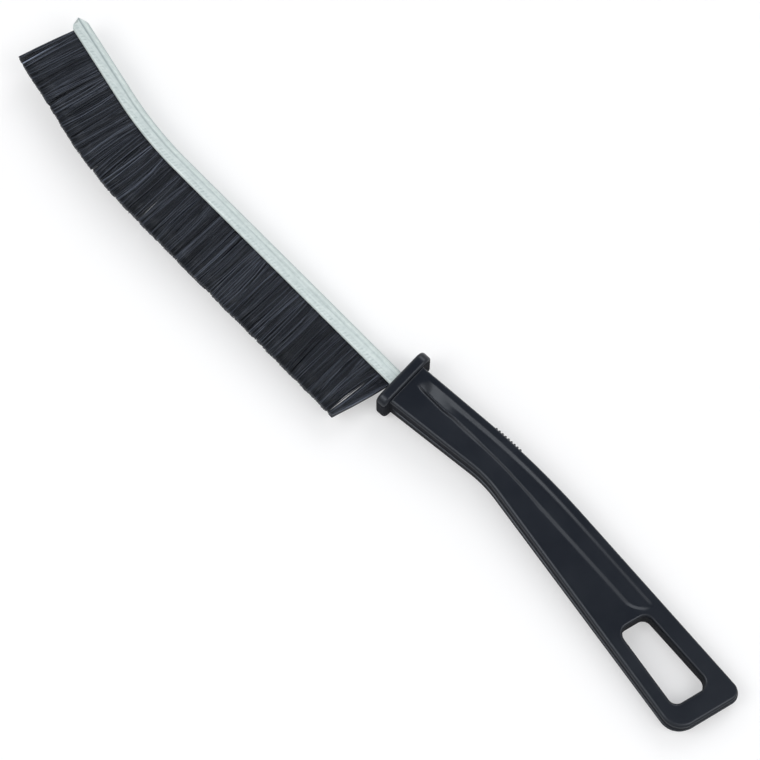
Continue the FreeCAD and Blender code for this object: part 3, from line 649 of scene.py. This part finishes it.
def wall_rows(sizes, line, outwards, rounded, ledge, bumps):
    """Rows of points from the lower face, up a wall of the grip and over to the upper face."""
    half = half_thickness(sizes, line[:, 0])
    reach, height = rounded
    reach = np.full(len(line), reach)[:, None]
    upright = half - height
    rounds = [(reach * over, half - height * under) for over, under in ROUND_STEPS]
    rounds.append((reach + SUPPORT, half))
    parting = np.full(len(line), sizes.parting_height)
    fall = LEDGE_FALL_SHARE * sizes.parting_ledge
    below = [-upright * level for level in WALL_SHARES] + [parting - fall - SUPPORT]
    above = [parting + SUPPORT] + [upright * level for level in reversed(WALL_SHARES)]

    rows = [np.column_stack((line - outwards * inset, -level)) for inset, level in reversed(rounds)]
    walls = [(level, ledge * (level + upright) / (parting - fall + upright)) for level in below]
    walls += [(parting - fall * step, ledge * step) for step in LEDGE_STEPS]
    walls += [(level, 0.0 * ledge) for level in above]
    for level, proud in walls:
        proud = proud + bumps * (np.abs(level) < sizes.rib_length / 2)
        rows.append(np.column_stack((line + outwards * proud[:, None], level)))
    rows += [np.column_stack((line - outwards * inset, level)) for inset, level in rounds]
    return rows


def slot_line(sizes):
    """The hanging slot's outline, parallel to the tail's edges."""
    crest, top, bottom, knee = grip_corners(sizes)
    walls = []
    for start, end, inset in (
            (crest, top, sizes.upper_rim),
            (top, bottom, sizes.tail_rim),
            (bottom, knee, sizes.lower_rim),
            (top, bottom, sizes.tail_rim + sizes.slot_length)):
        run = unit(end - start)
        walls.append((start + np.array((run[1], -run[0])) * inset, run))
    corners = []
    for (here, run), (there, other) in zip(walls[-1:] + walls[:-1], walls):
        gap = there - here
        reach = (gap[0] * other[1] - gap[1] * other[0]) / (run[0] * other[1] - run[1] * other[0])
        corners.append(here + run * reach)
    return rounded_line(corners[::-1], [sizes.slot_corner] * 4, OUTLINE_STEP, closed=True)


def flute_points(sizes, line):
    """Points of the flute in the upper face, which is narrow at the guard and has a slanting round end."""
    places = distances(line)
    outwards = left_of(line)
    reach = sizes.flute_end - sizes.flute_start
    lower = sizes.flute_inset + sizes.flute_width
    across = np.linspace(sizes.flute_inset - FLUTE_MARGIN, lower + FLUTE_MARGIN, FLUTE_COLUMNS)
    spots = []
    for place in np.arange(sizes.flute_start, sizes.flute_end + sizes.flute_width / 2, FLUTE_STEP):
        edge = points_at(place, places, line)
        inwards = -unit(points_at(place, places, outwards))
        part = (place - sizes.flute_start) / reach
        half_width = sizes.flute_width * np.interp(part, FLUTE_SHARES, FLUTE_WIDTHS) / 2
        lower_slope = np.interp(part, FLUTE_SHARES, FLUTE_LOWER_SLOPES)
        aside = across - sizes.flute_inset - half_width
        to_end = sizes.flute_end - FLUTE_END_SLANT * aside - place
        inside = half_width - np.hypot(np.maximum(half_width - to_end, 0.0), aside)
        scoop = np.clip((half_width + aside) / SCOOP_SLOPE, 0.0, 1.0)
        scoop *= soft_step((half_width - aside) / lower_slope)
        ease = soft_step((SCOOP_SHARES[1] - part) / (SCOOP_SHARES[1] - SCOOP_SHARES[0]))
        hollow = soft_step(inside / np.where(aside < 0, FLUTE_SLOPE, lower_slope))
        hollow = (ease * scoop + (1 - ease) * hollow) * soft_step((place - sizes.flute_start) / SCOOP_RUN)
        depth = sizes.flute_depth * np.interp(part, FLUTE_SHARES, FLUTE_DEPTHS) * hollow
        flat = edge + inwards * across[:, None]
        points = np.column_stack((flat, half_thickness(sizes, flat[:, 0]) - depth))
        spots.append(points[inside > -FLUTE_MARGIN])
    return np.vstack(spots)


def neck_ring(sizes, skin, rows, top_side, bottom_side):
    """Root fillet and guard, joined to the neck's open end."""
    ring = np.concatenate((
        [row[0] for row in rows], top_side, [row[-1] for row in rows[::-1]], bottom_side[::-1]))
    along, upward = neck_plane(sizes)
    section = np.column_stack((skin.points[ring][:, :2] @ upward, skin.points[ring][:, 2]))

    def stand(pairs, depth):
        """Points of the guard's own plane, this deep behind its front."""
        return np.column_stack((pairs[:, :1] * upward + along * depth, pairs[:, 1]))

    outwards = left_of(section, closed=True)
    outwards *= np.sign(np.sum(outwards * (section - section.mean(axis=0))))
    fillet = sizes.root_fillet
    numbers = [ring]
    for over, under in ROUND_STEPS:
        grown = section + outwards * fillet * over
        numbers.append(skin.add(stand(grown, sizes.guard_thickness + fillet * under)))
    numbers.append(skin.add(stand(section + outwards * (fillet + SUPPORT), sizes.guard_thickness)))
    skin.bands(numbers, closed=True)

    low, high = sizes.guard_rise - sizes.guard_height / 2, sizes.guard_rise + sizes.guard_height / 2
    side = sizes.guard_width / 2
    corners = ((low, -side), (low, side), (high, side), (high, -side))
    rim = rounded_line(corners, [sizes.guard_corner] * 4, OUTLINE_STEP, closed=True)
    outwards = left_of(rim, closed=True)
    rounds = sizes.guard_round
    steps = [(rounds + SUPPORT, 0.0)]
    steps += [(rounds * under, rounds * over) for over, under in ROUND_STEPS]
    steps += [(inset, sizes.guard_thickness - depth) for inset, depth in reversed(steps)]
    loops = [skin.add(stand(rim - outwards * inset, depth)) for inset, depth in steps]
    skin.bands(loops, closed=True)
    skin.faces.append(loops[0].tolist())
    skin.flat_face(
        [loops[-1], numbers[-1]], lambda points: np.column_stack((points[:, :2] @ upward, points[:, 2])))


def handle_skin(sizes):
    """The handle's moulding in one closed skin."""
    skin = Skin()
    line = grip_line(sizes)
    places = distances(line)
    ledge = sizes.parting_ledge * soft_step(np.minimum(places, places[-1] - places) / PARTING_FADE)
    bumps = rib_bumps(sizes, places)
    outwards = left_of(line)
    backwards = soft_step((outwards[:, 1] + 1) / 2)
    reach = sizes.edge_reach + (sizes.back_reach - sizes.edge_reach) * backwards
    walls = wall_rows(sizes, line, outwards, (reach, sizes.edge_round), ledge, bumps)
    rows = [skin.add(row) for row in walls]
    skin.bands(rows)
    slot = slot_line(sizes)
    plain = np.zeros(len(slot))
    rounded = (sizes.slot_round, sizes.slot_round)
    slot_walls = wall_rows(sizes, slot, left_of(slot, closed=True), rounded, plain, plain)
    slot_rows = [skin.add(row) for row in slot_walls]
    skin.bands(slot_rows, closed=True)
    flute = flute_points(sizes, line)
    sides = []
    for edge, slot_edge, sign in ((rows[-1], slot_rows[-1], 1.0), (rows[0], slot_rows[0], -1.0)):
        start, end = skin.points[edge[0]], skin.points[edge[-1]]
        across = np.linspace(0.0, 1.0, NECK_COLUMNS)[1:-1, None]
        side = skin.add(start + (end - start) * across)
        inside = skin.add(flute * np.array((1.0, 1.0, sign)))
        rim = np.concatenate((edge, side[::-1]))
        skin.flat_face([rim, slot_edge], lambda points: points[:, :2], inside)
        sides.append(side)
    neck_ring(sizes, skin, rows, *sides)
    return skin


class BRUSH_OT_handle(bpy.types.Operator):
    """Build the moulded handle with its guard, flute, ribs and hanging slot"""

    bl_idname = "brush.handle"
    bl_label = "Handle"

    def execute(self, context):
        settings = context.scene.brush
        material = moulded_polypropylene(settings.colours)
        piece = handle_skin(settings.handle).make("handle_moulding", brush_origin(settings), material)
        piece.data.materials.append(drawn_polypropylene(settings.colours))
        for face in piece.data.polygons:
            face.material_index = int(abs(face.normal.z) < WALL_STEEPNESS)
        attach(piece, "root")
        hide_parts("handle")
        return {"FINISHED"}


# Channel

def strip_length(sizes):
    """Length of the channel's middle line from the guard to the tip."""
    saved = sizes.bend_radius * (2 * math.tan(sizes.bend_angle / 2) - sizes.bend_angle)
    return sizes.straight_run + sizes.tip_run - saved


def on_strip(sizes, distance, upward, aside, drift=0.0):
    """Points beside the channel's middle line, at distances from the guard, drifted towards the handle."""
    enter = sizes.straight_run - sizes.bend_radius * math.tan(sizes.bend_angle / 2)
    turned = np.clip((distance - enter) / sizes.bend_radius, 0.0, sizes.bend_angle)
    beyond = np.maximum(distance - enter - sizes.bend_radius * sizes.bend_angle, 0.0)
    run = np.minimum(distance, enter) + sizes.bend_radius * np.sin(turned) + beyond * np.cos(turned)
    rise = sizes.bend_radius * (1 - np.cos(turned)) + beyond * np.sin(turned)
    across = -run + upward * np.sin(turned) + drift * np.cos(turned)
    height = rise + upward * np.cos(turned) - drift * np.sin(turned)
    return np.stack((across, height, aside), axis=-1)


def channel_section(sizes):
    """Half of the channel's section, from the middle of its back to the lip, outside and then inside."""
    half, deep = sizes.width / 2, sizes.depth / 2
    folds = sizes.back_round
    angles = np.linspace(0.0, math.pi / 2, FOLD_POINTS)
    back = np.array([(deep, part * (half - folds)) for part in BACK_SHARES])
    fold = np.column_stack((deep - folds * (1 - np.cos(angles)), half - folds * (1 - np.sin(angles))))
    levels = np.linspace(deep - folds, sizes.lip_curl - deep, WALL_POINTS)[1:]
    wall = np.column_stack((levels, np.full(len(levels), half)))
    part = np.linspace(0.0, 1.0, CURL_POINTS)[1:]
    curl = np.column_stack((
        (sizes.lip_curl * (1 - part) - deep), half - (half - sizes.mouth / 2) * part ** 2))
    outside = np.vstack((back, fold, wall, curl))
    kept = np.append(np.arange(0, len(outside) - 1, INSIDE_STRIDE), len(outside) - 1)
    inside = (outside + left_of(outside) * sizes.wall)[kept]
    return outside, inside


def channel_skin(sizes):
    """The rolled strip with its crease, crimping marks and rough tip, and how much painted shade each point
    gets.
    """
    rng = np.random.default_rng(SEED)
    outside, inside = channel_section(sizes)
    middle = (outside[-1] + inside[-1]) / 2
    spoke = outside[-1] - middle
    angles = np.linspace(0.0, math.pi, CURL_POINTS)[1:-1]
    lip = middle + np.column_stack((
        np.cos(angles) * spoke[0] - np.sin(angles) * spoke[1],
        np.sin(angles) * spoke[0] + np.cos(angles) * spoke[1]))
    half = np.vstack((outside, lip, inside[::-1]))
    loop = np.vstack((half, half[::-1][1:-1] * np.array((1.0, -1.0))))
    outer = np.zeros(len(loop), bool)
    outer[:len(outside)] = True
    outer[len(loop) - len(outside) + 1:] = True

    total = strip_length(sizes)
    stations = np.append(np.arange(-HIDDEN_RUN, total, STATION_STEP), total)
    upward, aside = loop[:, 0], loop[:, 1]
    from_lip = (upward + sizes.depth / 2) / sizes.depth
    band = soft_step((from_lip - DENT_BAND[0]) / DENT_FADES[0])
    band *= soft_step((DENT_BAND[1] - from_lip) / DENT_FADES[1])
    window = np.where(outer, band, 0.0)
    from_crease = (from_lip - CREASE_SHARE) * sizes.depth / sizes.crease_width
    crease = np.where(outer, np.exp(-from_crease ** 2), 0.0)
    # Painted shade along the middle of the back
    rubbed = soft_step((BACK_SHADE_SHARE - 2 * np.abs(aside) / sizes.width) / BACK_SHADE_FADE)
    back = np.where(outer & (from_lip > 0.5), rubbed, 0.0)
    marks = rng.uniform(*DENT_STRENGTHS, int(total / sizes.dent_pitch) + 2 * SPARE_DENTS)
    end_growth = np.interp(from_lip, TIP_SHARES, TIP_GROWTH)

    skin = Skin()
    rows = []
    painted_shades = []
    for station in stations:
        slanted = (station + (from_lip - DENT_MIDDLE) * DENT_SLANT) / sizes.dent_pitch
        number = np.round(slanted)
        off = (slanted - number) * sizes.dent_pitch / sizes.dent_width
        strength = marks[np.clip(number.astype(int) + SPARE_DENTS, 0, len(marks) - 1)]
        dent = strength * window * np.exp(-off ** 2)
        sink = sizes.dent_depth * dent + sizes.crease_depth * crease
        # Painted shade in the marks and in the crease, which grows darker towards the tip, and along the
        # back
        crease_painted_shade = CREASE_PAINTED_SHADE[0] + CREASE_PAINTED_SHADE[1] * (max(station, 0.0) / total) ** 2
        painted_shades.append(np.clip(DENT_PAINTED_SHADE * dent + crease_painted_shade * crease + BACK_PAINTED_SHADE * back, 0.0, 1.0))
        grown = station + end_growth * soft_step((station - total + TIP_STRETCH) / TIP_STRETCH)
        rows.append(skin.add(on_strip(sizes, grown, upward, aside - np.sign(aside) * sink)))
    skin.bands(rows, closed=True)
    skin.faces += [rows[0].tolist(), rows[-1].tolist()]
    return skin, np.concatenate(painted_shades)


class BRUSH_OT_channel(bpy.types.Operator):
    """Build the rolled steel channel, and give the core wire its finish"""

    bl_idname = "brush.channel"
    bl_label = "Channel and core wire"

    def execute(self, context):
        settings = context.scene.brush
        material = galvanised_steel(settings.colours)
        skin, painted_shades = channel_skin(settings.channel)
        piece = skin.make("rolled_channel", brush_origin(settings), material)
        # Each point's painted shade, which the finish reads
        hollow = piece.data.attributes.new("hollow", "FLOAT", "POINT")
        hollow.data.foreach_set("value", painted_shades.astype(np.float32))
        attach(piece, "root")
        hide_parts("channel")
        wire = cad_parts["core_wire"]
        wire.data.materials[0] = drawn_steel(settings.colours)
        return {"FINISHED"}


# Filaments

def lock_edges(rng, start, end):
    """Places where one lock of filaments ends and the next one begins."""
    widths = rng.uniform(*LOCK_WIDTHS, int((end - start) / MM))
    edges = start + np.cumsum(widths)
    return np.append(edges[edges < end - 2 * LAST_LOCK], end - LAST_LOCK)


def fill_lean(fill, distance, total):
    """Lean of the fill towards the handle, at distances from the guard."""
    near_guard = np.clip(1 - distance / fill.lean_fade, 0.0, 1.0) ** 2
    near_tip = np.clip(1 - (total - distance) / (TIP_FADE_RATIO * fill.lean_fade), 0.0, 1.0)
    bent = near_guard * (fill.guard_lean - fill.body_lean) + near_tip * (fill.tip_lean - fill.body_lean)
    return fill.body_lean + bent


def scatter(rng, lock, for_lock, for_one):
    """Random amounts for the filaments: one that a whole lock shares, and one of each filament's own."""
    return rng.normal(0, for_lock, lock.max() + 1)[lock] + rng.normal(0, for_one, len(lock))


def filament_lines(fill, channel):
    """Points along every filament, from inside the channel's mouth to its free end, and its tones there."""
    rng = np.random.default_rng(SEED)
    total = strip_length(channel)
    start, end = fill.guard_gap, total - fill.tip_inset
    count = fill.filaments
    distance = start + (end - start) * (np.arange(count) + rng.uniform(0, 1, count)) / count
    edges = lock_edges(rng, start, end)
    lock = np.searchsorted(edges, distance)
    locks = len(edges) + 1
    centres = np.array([distance[lock == number].mean() for number in range(locks)])

    lean = fill_lean(fill, distance, total)
    calm = soft_step(np.minimum(distance - start, end - distance) / CALM_ENDS)
    lean += calm * scatter(rng, lock, fill.lock_scatter, fill.lone_scatter)
    lean -= np.where(lock == locks - 1, LAST_LOCK_LEAN, 0.0)
    reach = fill.free_length - fill.ragged_length * rng.uniform(0, RAGGED_SHARES[0], locks)[lock]
    reach -= np.abs(rng.normal(0, RAGGED_SHARES[1] * fill.ragged_length, count))
    gather = rng.uniform(0.0, GATHER_SHARE, locks)[lock] * (centres[lock] - distance)
    bow = scatter(rng, lock, *BOWS)
    root = rng.uniform(-0.5, 0.5, count) * (fill.root_thickness - fill.diameter)
    spread = root * (fill.tip_thickness / fill.root_thickness - 1)
    spread += scatter(rng, lock, *SPREADS)
    room = (fill.tip_thickness - fill.diameter) / 2
    spread = np.clip(root + spread, -room, room) - root

    part = FILAMENT_PARTS[None]
    out = part * reach[:, None]
    drift = out * np.tan(lean)[:, None] + gather[:, None] * np.maximum(part, 0) ** GATHER_POWER
    drift += bow[:, None] * part * (1 - part) * 4
    aside = root[:, None] + spread[:, None] * np.maximum(part, 0)
    upward = -channel.depth / 2 - out
    # Painted highlight: a few random filaments are painted paler as glints, by an amount that differs from
    # lock to lock
    tone = GLINT_TONE * rng.uniform(0, 1, count) ** GLINT_RARITY * rng.uniform(*LOCK_TONES, locks)[lock]
    tone = np.repeat(tone[:, None], len(FILAMENT_PARTS), axis=1)
    # One filament on top of the fill beside the last lock is painted pale along its outer part
    beside_last = np.flatnonzero(lock == locks - 2)[-BESIDE_LAST_LOCK:]
    tone[beside_last[np.argmax(root[beside_last])]] = PALE_STREAK_TONES
    return on_strip(channel, distance[:, None], upward, aside, drift), tone


def filament_mesh(lines, tone, fill, origin):
    """One mesh of round filaments, with their tones and a map that gives each its own patch."""
    count, rings, _ = lines.shape
    run = unit(np.gradient(lines, axis=1))
    sideways = unit(np.cross(run, np.array((0.0, 0.0, 1.0))))
    upwards = np.cross(sideways, run)
    angles = np.arange(FILAMENT_SIDES) * 2 * math.pi / FILAMENT_SIDES
    ring = sideways[:, :, None] * np.cos(angles)[:, None] + upwards[:, :, None] * np.sin(angles)[:, None]
    points = lines[:, :, None] + ring * fill.diameter / 2

    side = np.arange(FILAMENT_SIDES)
    following = (side + 1) % FILAMENT_SIDES
    level = np.arange(rings - 1)[:, None] * FILAMENT_SIDES
    quads = np.stack((level + side, level + following, level + FILAMENT_SIDES + following,
                      level + FILAMENT_SIDES + side), axis=-1).reshape(-1, 4)
    cap = (rings - 1) * FILAMENT_SIDES + side
    steps = np.arange(count)[:, None, None] * rings * FILAMENT_SIDES
    faces = (quads[None] + steps).reshape(-1, 4).tolist() + (cap[None] + steps[:, 0]).tolist()

    mesh = bpy.data.meshes.new("filament_fill")
    mesh.from_pydata((points.reshape(-1, 3) + origin).tolist(), [], faces)
    mesh.shade_smooth()
    corners = np.stack((side, side + 1, side + 1, side), axis=-1) / FILAMENT_SIDES
    heights = np.arange(rings - 1)[:, None] + np.array((0, 0, 1, 1))
    patch = np.stack(np.broadcast_arrays(corners[None], heights[:, None] / rings), axis=-1).reshape(-1, 2)
    end = np.column_stack((0.5 + np.cos(angles) / 2, 1 + (np.sin(angles) / 2 - 0.5) / rings))
    cells = math.ceil(math.sqrt(count))
    cell = np.stack((np.arange(count) % cells, np.arange(count) // cells), axis=-1)[:, None]
    size = 1 - 2 * PATCH_MARGIN
    laid = [((cell + PATCH_MARGIN + size * part) / cells).reshape(-1) for part in (patch, end)]
    mesh.uv_layers.new(name="OFBake").uv.foreach_set("vector", np.concatenate(laid).astype(np.float32))
    mesh.attributes.new("tone", "FLOAT", "POINT").data.foreach_set(
        "value", np.repeat(tone, FILAMENT_SIDES).astype(np.float32))
    return mesh


class BRUSH_OT_filaments(bpy.types.Operator):
    """Build the filaments that the channel holds"""

    bl_idname = "brush.filaments"
    bl_label = "Filaments"

    def execute(self, context):
        settings = context.scene.brush
        lines, tone = filament_lines(settings.fill, settings.channel)
        mesh = filament_mesh(lines, tone, settings.fill, brush_origin(settings))
        mesh.materials.append(extruded_filament(settings.colours))
        piece = put("filament_fill", mesh)
        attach(piece, "root")
        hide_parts(*LOCKS)
        return {"FINISHED"}


# Stage

def table_slope():
    """A point where the guard touches the table, and the table's slope from there to the tail."""
    corners = np.array([vertex.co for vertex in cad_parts["handle"].data.vertices])
    lowest = corners[corners[:, 2] < corners[:, 2].min() + TOUCH]
    foot = lowest[lowest[:, 0].argmax()]
    tail = corners[corners[:, 0] > foot[0] + TAIL_BEYOND]
    return foot, np.min((tail[:, 2] - foot[2]) / (tail[:, 0] - foot[0]))


def make_table(colours):
    """A matt white table under the guard and the tail, with the faint mottle of paper."""
    material, tree, place = new_finish("matt_paper_white")
    mottle = add_node(tree, "TexNoise", feeds={"Vector": place, "Scale": per_metre(90), "Detail": 2.0})
    tint = add_node(tree, "Mix", BLEND, {0: mottle, 6: colours.table, 7: colours.table_mottle})
    paper = add_node(tree, "BsdfPrincipled", feeds={"Base Color": tint, "Roughness": 0.9})
    # Seen by the camera, or in the metal, part of the table shows plain white, which lightens the shadow
    ray = add_node(tree, "LightPath")
    seen = ray.outputs["Is Camera Ray"]
    for other in ("Is Glossy Ray", "Is Transmission Ray"):
        seen = add_node(tree, "Math", {"operation": "MAXIMUM"}, {0: seen, 1: ray.outputs[other]})
    part = add_node(tree, "Math", MULTIPLY, {0: seen, 1: PLAIN_WHITE_SHARE})
    white = add_node(tree, "Emission", feeds={"Color": (1.0, 1.0, 1.0), "Strength": 1.0})
    mixed = add_node(tree, "MixShader", feeds={0: part, 1: paper, 2: white})
    add_node(tree, "OutputMaterial", feeds={"Surface": mixed})
    foot, slope = table_slope()
    ends = (-TABLE_HALF, TABLE_HALF)
    corners = [(x, y, foot[2] + slope * (x - foot[0])) for y in ends for x in ends]
    mesh = bpy.data.meshes.new("table")
    mesh.from_pydata(corners, [], [(0, 1, 3, 2)])
    mesh.materials.append(material)
    put("table", mesh)


def soft_box(name, aim, towards, level):
    """A square soft box of even brightness, one metre from the brush."""
    light = bpy.data.lights.new(name, "AREA")
    light.shape = "SQUARE"
    light.size = SOFT_BOX_SIZE
    light.energy = level
    lamp = put(name, light)
    lamp.location = aim + towards
    lamp.rotation_euler = towards.to_track_quat("Z", "Y").to_euler()


def light_tent(stage):
    """A light tent with a dark card in it, where the camera sees it mirrored by level faces."""
    world = bpy.data.worlds.new("light_tent")
    bpy.context.scene.world = world
    world.use_nodes = True
    tree = world.node_tree
    tree.nodes.clear()
    direction = add_node(tree, "TexCoord").outputs["Generated"]
    card = direction_from(stage.azimuth + math.pi, stage.elevation)
    nearness = add_node(tree, "VectorMath", {"operation": "DOT_PRODUCT"}, {0: direction, 1: card})
    tones = add_node(tree, "ValToRGB", feeds={"Fac": nearness})
    tones.color_ramp.interpolation = "EASE"
    stops = tones.color_ramp.elements
    while len(stops) < len(TENT_TONES):
        stops.new(1.0)
    for stop, (place, tone) in zip(stops, TENT_TONES):
        stop.position = place
        stop.color = (*tone, 1.0)
    tent = add_node(tree, "Background", feeds={"Color": tones, "Strength": stage.tent})
    add_node(tree, "OutputWorld", feeds={"Surface": tent})


def direction_from(azimuth, elevation):
    """Direction to a camera or lamp that stands at these angles."""
    flat = math.cos(elevation)
    return Vector((math.sin(azimuth) * flat, -math.cos(azimuth) * flat, math.sin(elevation)))


class BRUSH_OT_stage(bpy.types.Operator):
    """Set up the table, the light and the camera"""

    bl_idname = "brush.stage"
    bl_label = "Stage"

    def execute(self, context):
        settings = context.scene.brush
        stage = settings.stage
        context.scene.view_settings.view_transform = "Standard"
        make_table(settings.colours)
        light_tent(stage)
        origin = Vector(brush_origin(settings))
        aim = origin + Vector((stage.aim_along, stage.aim_up, 0.0))
        for side, angles in SOFT_BOXES.items():
            towards = direction_from(*map(math.radians, angles))
            soft_box(f"{side}_soft_box", aim, towards, getattr(stage, f"{side}_box"))

        camera = bpy.data.cameras.new("camera")
        camera.lens = stage.lens
        camera.sensor_width = SENSOR_MILLIMETRES
        camera.clip_start = CLIP_START
        viewer = put("camera", camera)
        outlook = direction_from(stage.azimuth, stage.elevation)
        viewer.location = aim + outlook * stage.distance
        viewer.rotation_euler = outlook.to_track_quat("Z", "Y").to_euler()
        context.scene.camera = viewer
        return {"FINISHED"}


class BRUSH_PT_pieces(bpy.types.Panel):
    """Buttons that build each piece of the brush"""

    bl_label = "Crevice brush"
    bl_idname = "BRUSH_PT_pieces"
    bl_space_type = "VIEW_3D"
    bl_region_type = "UI"
    bl_category = "Brush"

    def draw(self, context):
        for operator in OPERATORS:
            self.layout.operator(operator.bl_idname)


OPERATORS = (BRUSH_OT_handle, BRUSH_OT_channel, BRUSH_OT_filaments, BRUSH_OT_stage)
CLASSES = (HandleSizes, ChannelSizes, FillSizes, StageSettings, BrushColours, BrushSettings,
           *OPERATORS, BRUSH_PT_pieces)


def register():
    """Make the settings, operators and panel known to Blender."""
    for item in CLASSES:
        bpy.utils.register_class(item)
    bpy.types.Scene.brush = PointerProperty(type=BrushSettings)


def unregister():
    """Take the settings, operators and panel out again."""
    del bpy.types.Scene.brush
    for item in reversed(CLASSES):
        bpy.utils.unregister_class(item)


def main():
    """Build the brush and its stage."""
    register()
    bpy.ops.brush.handle()
    bpy.ops.brush.channel()
    bpy.ops.brush.filaments()
    bpy.ops.brush.stage()
    bpy.context.view_layer.update()


if __name__ == "__main__":
    main()
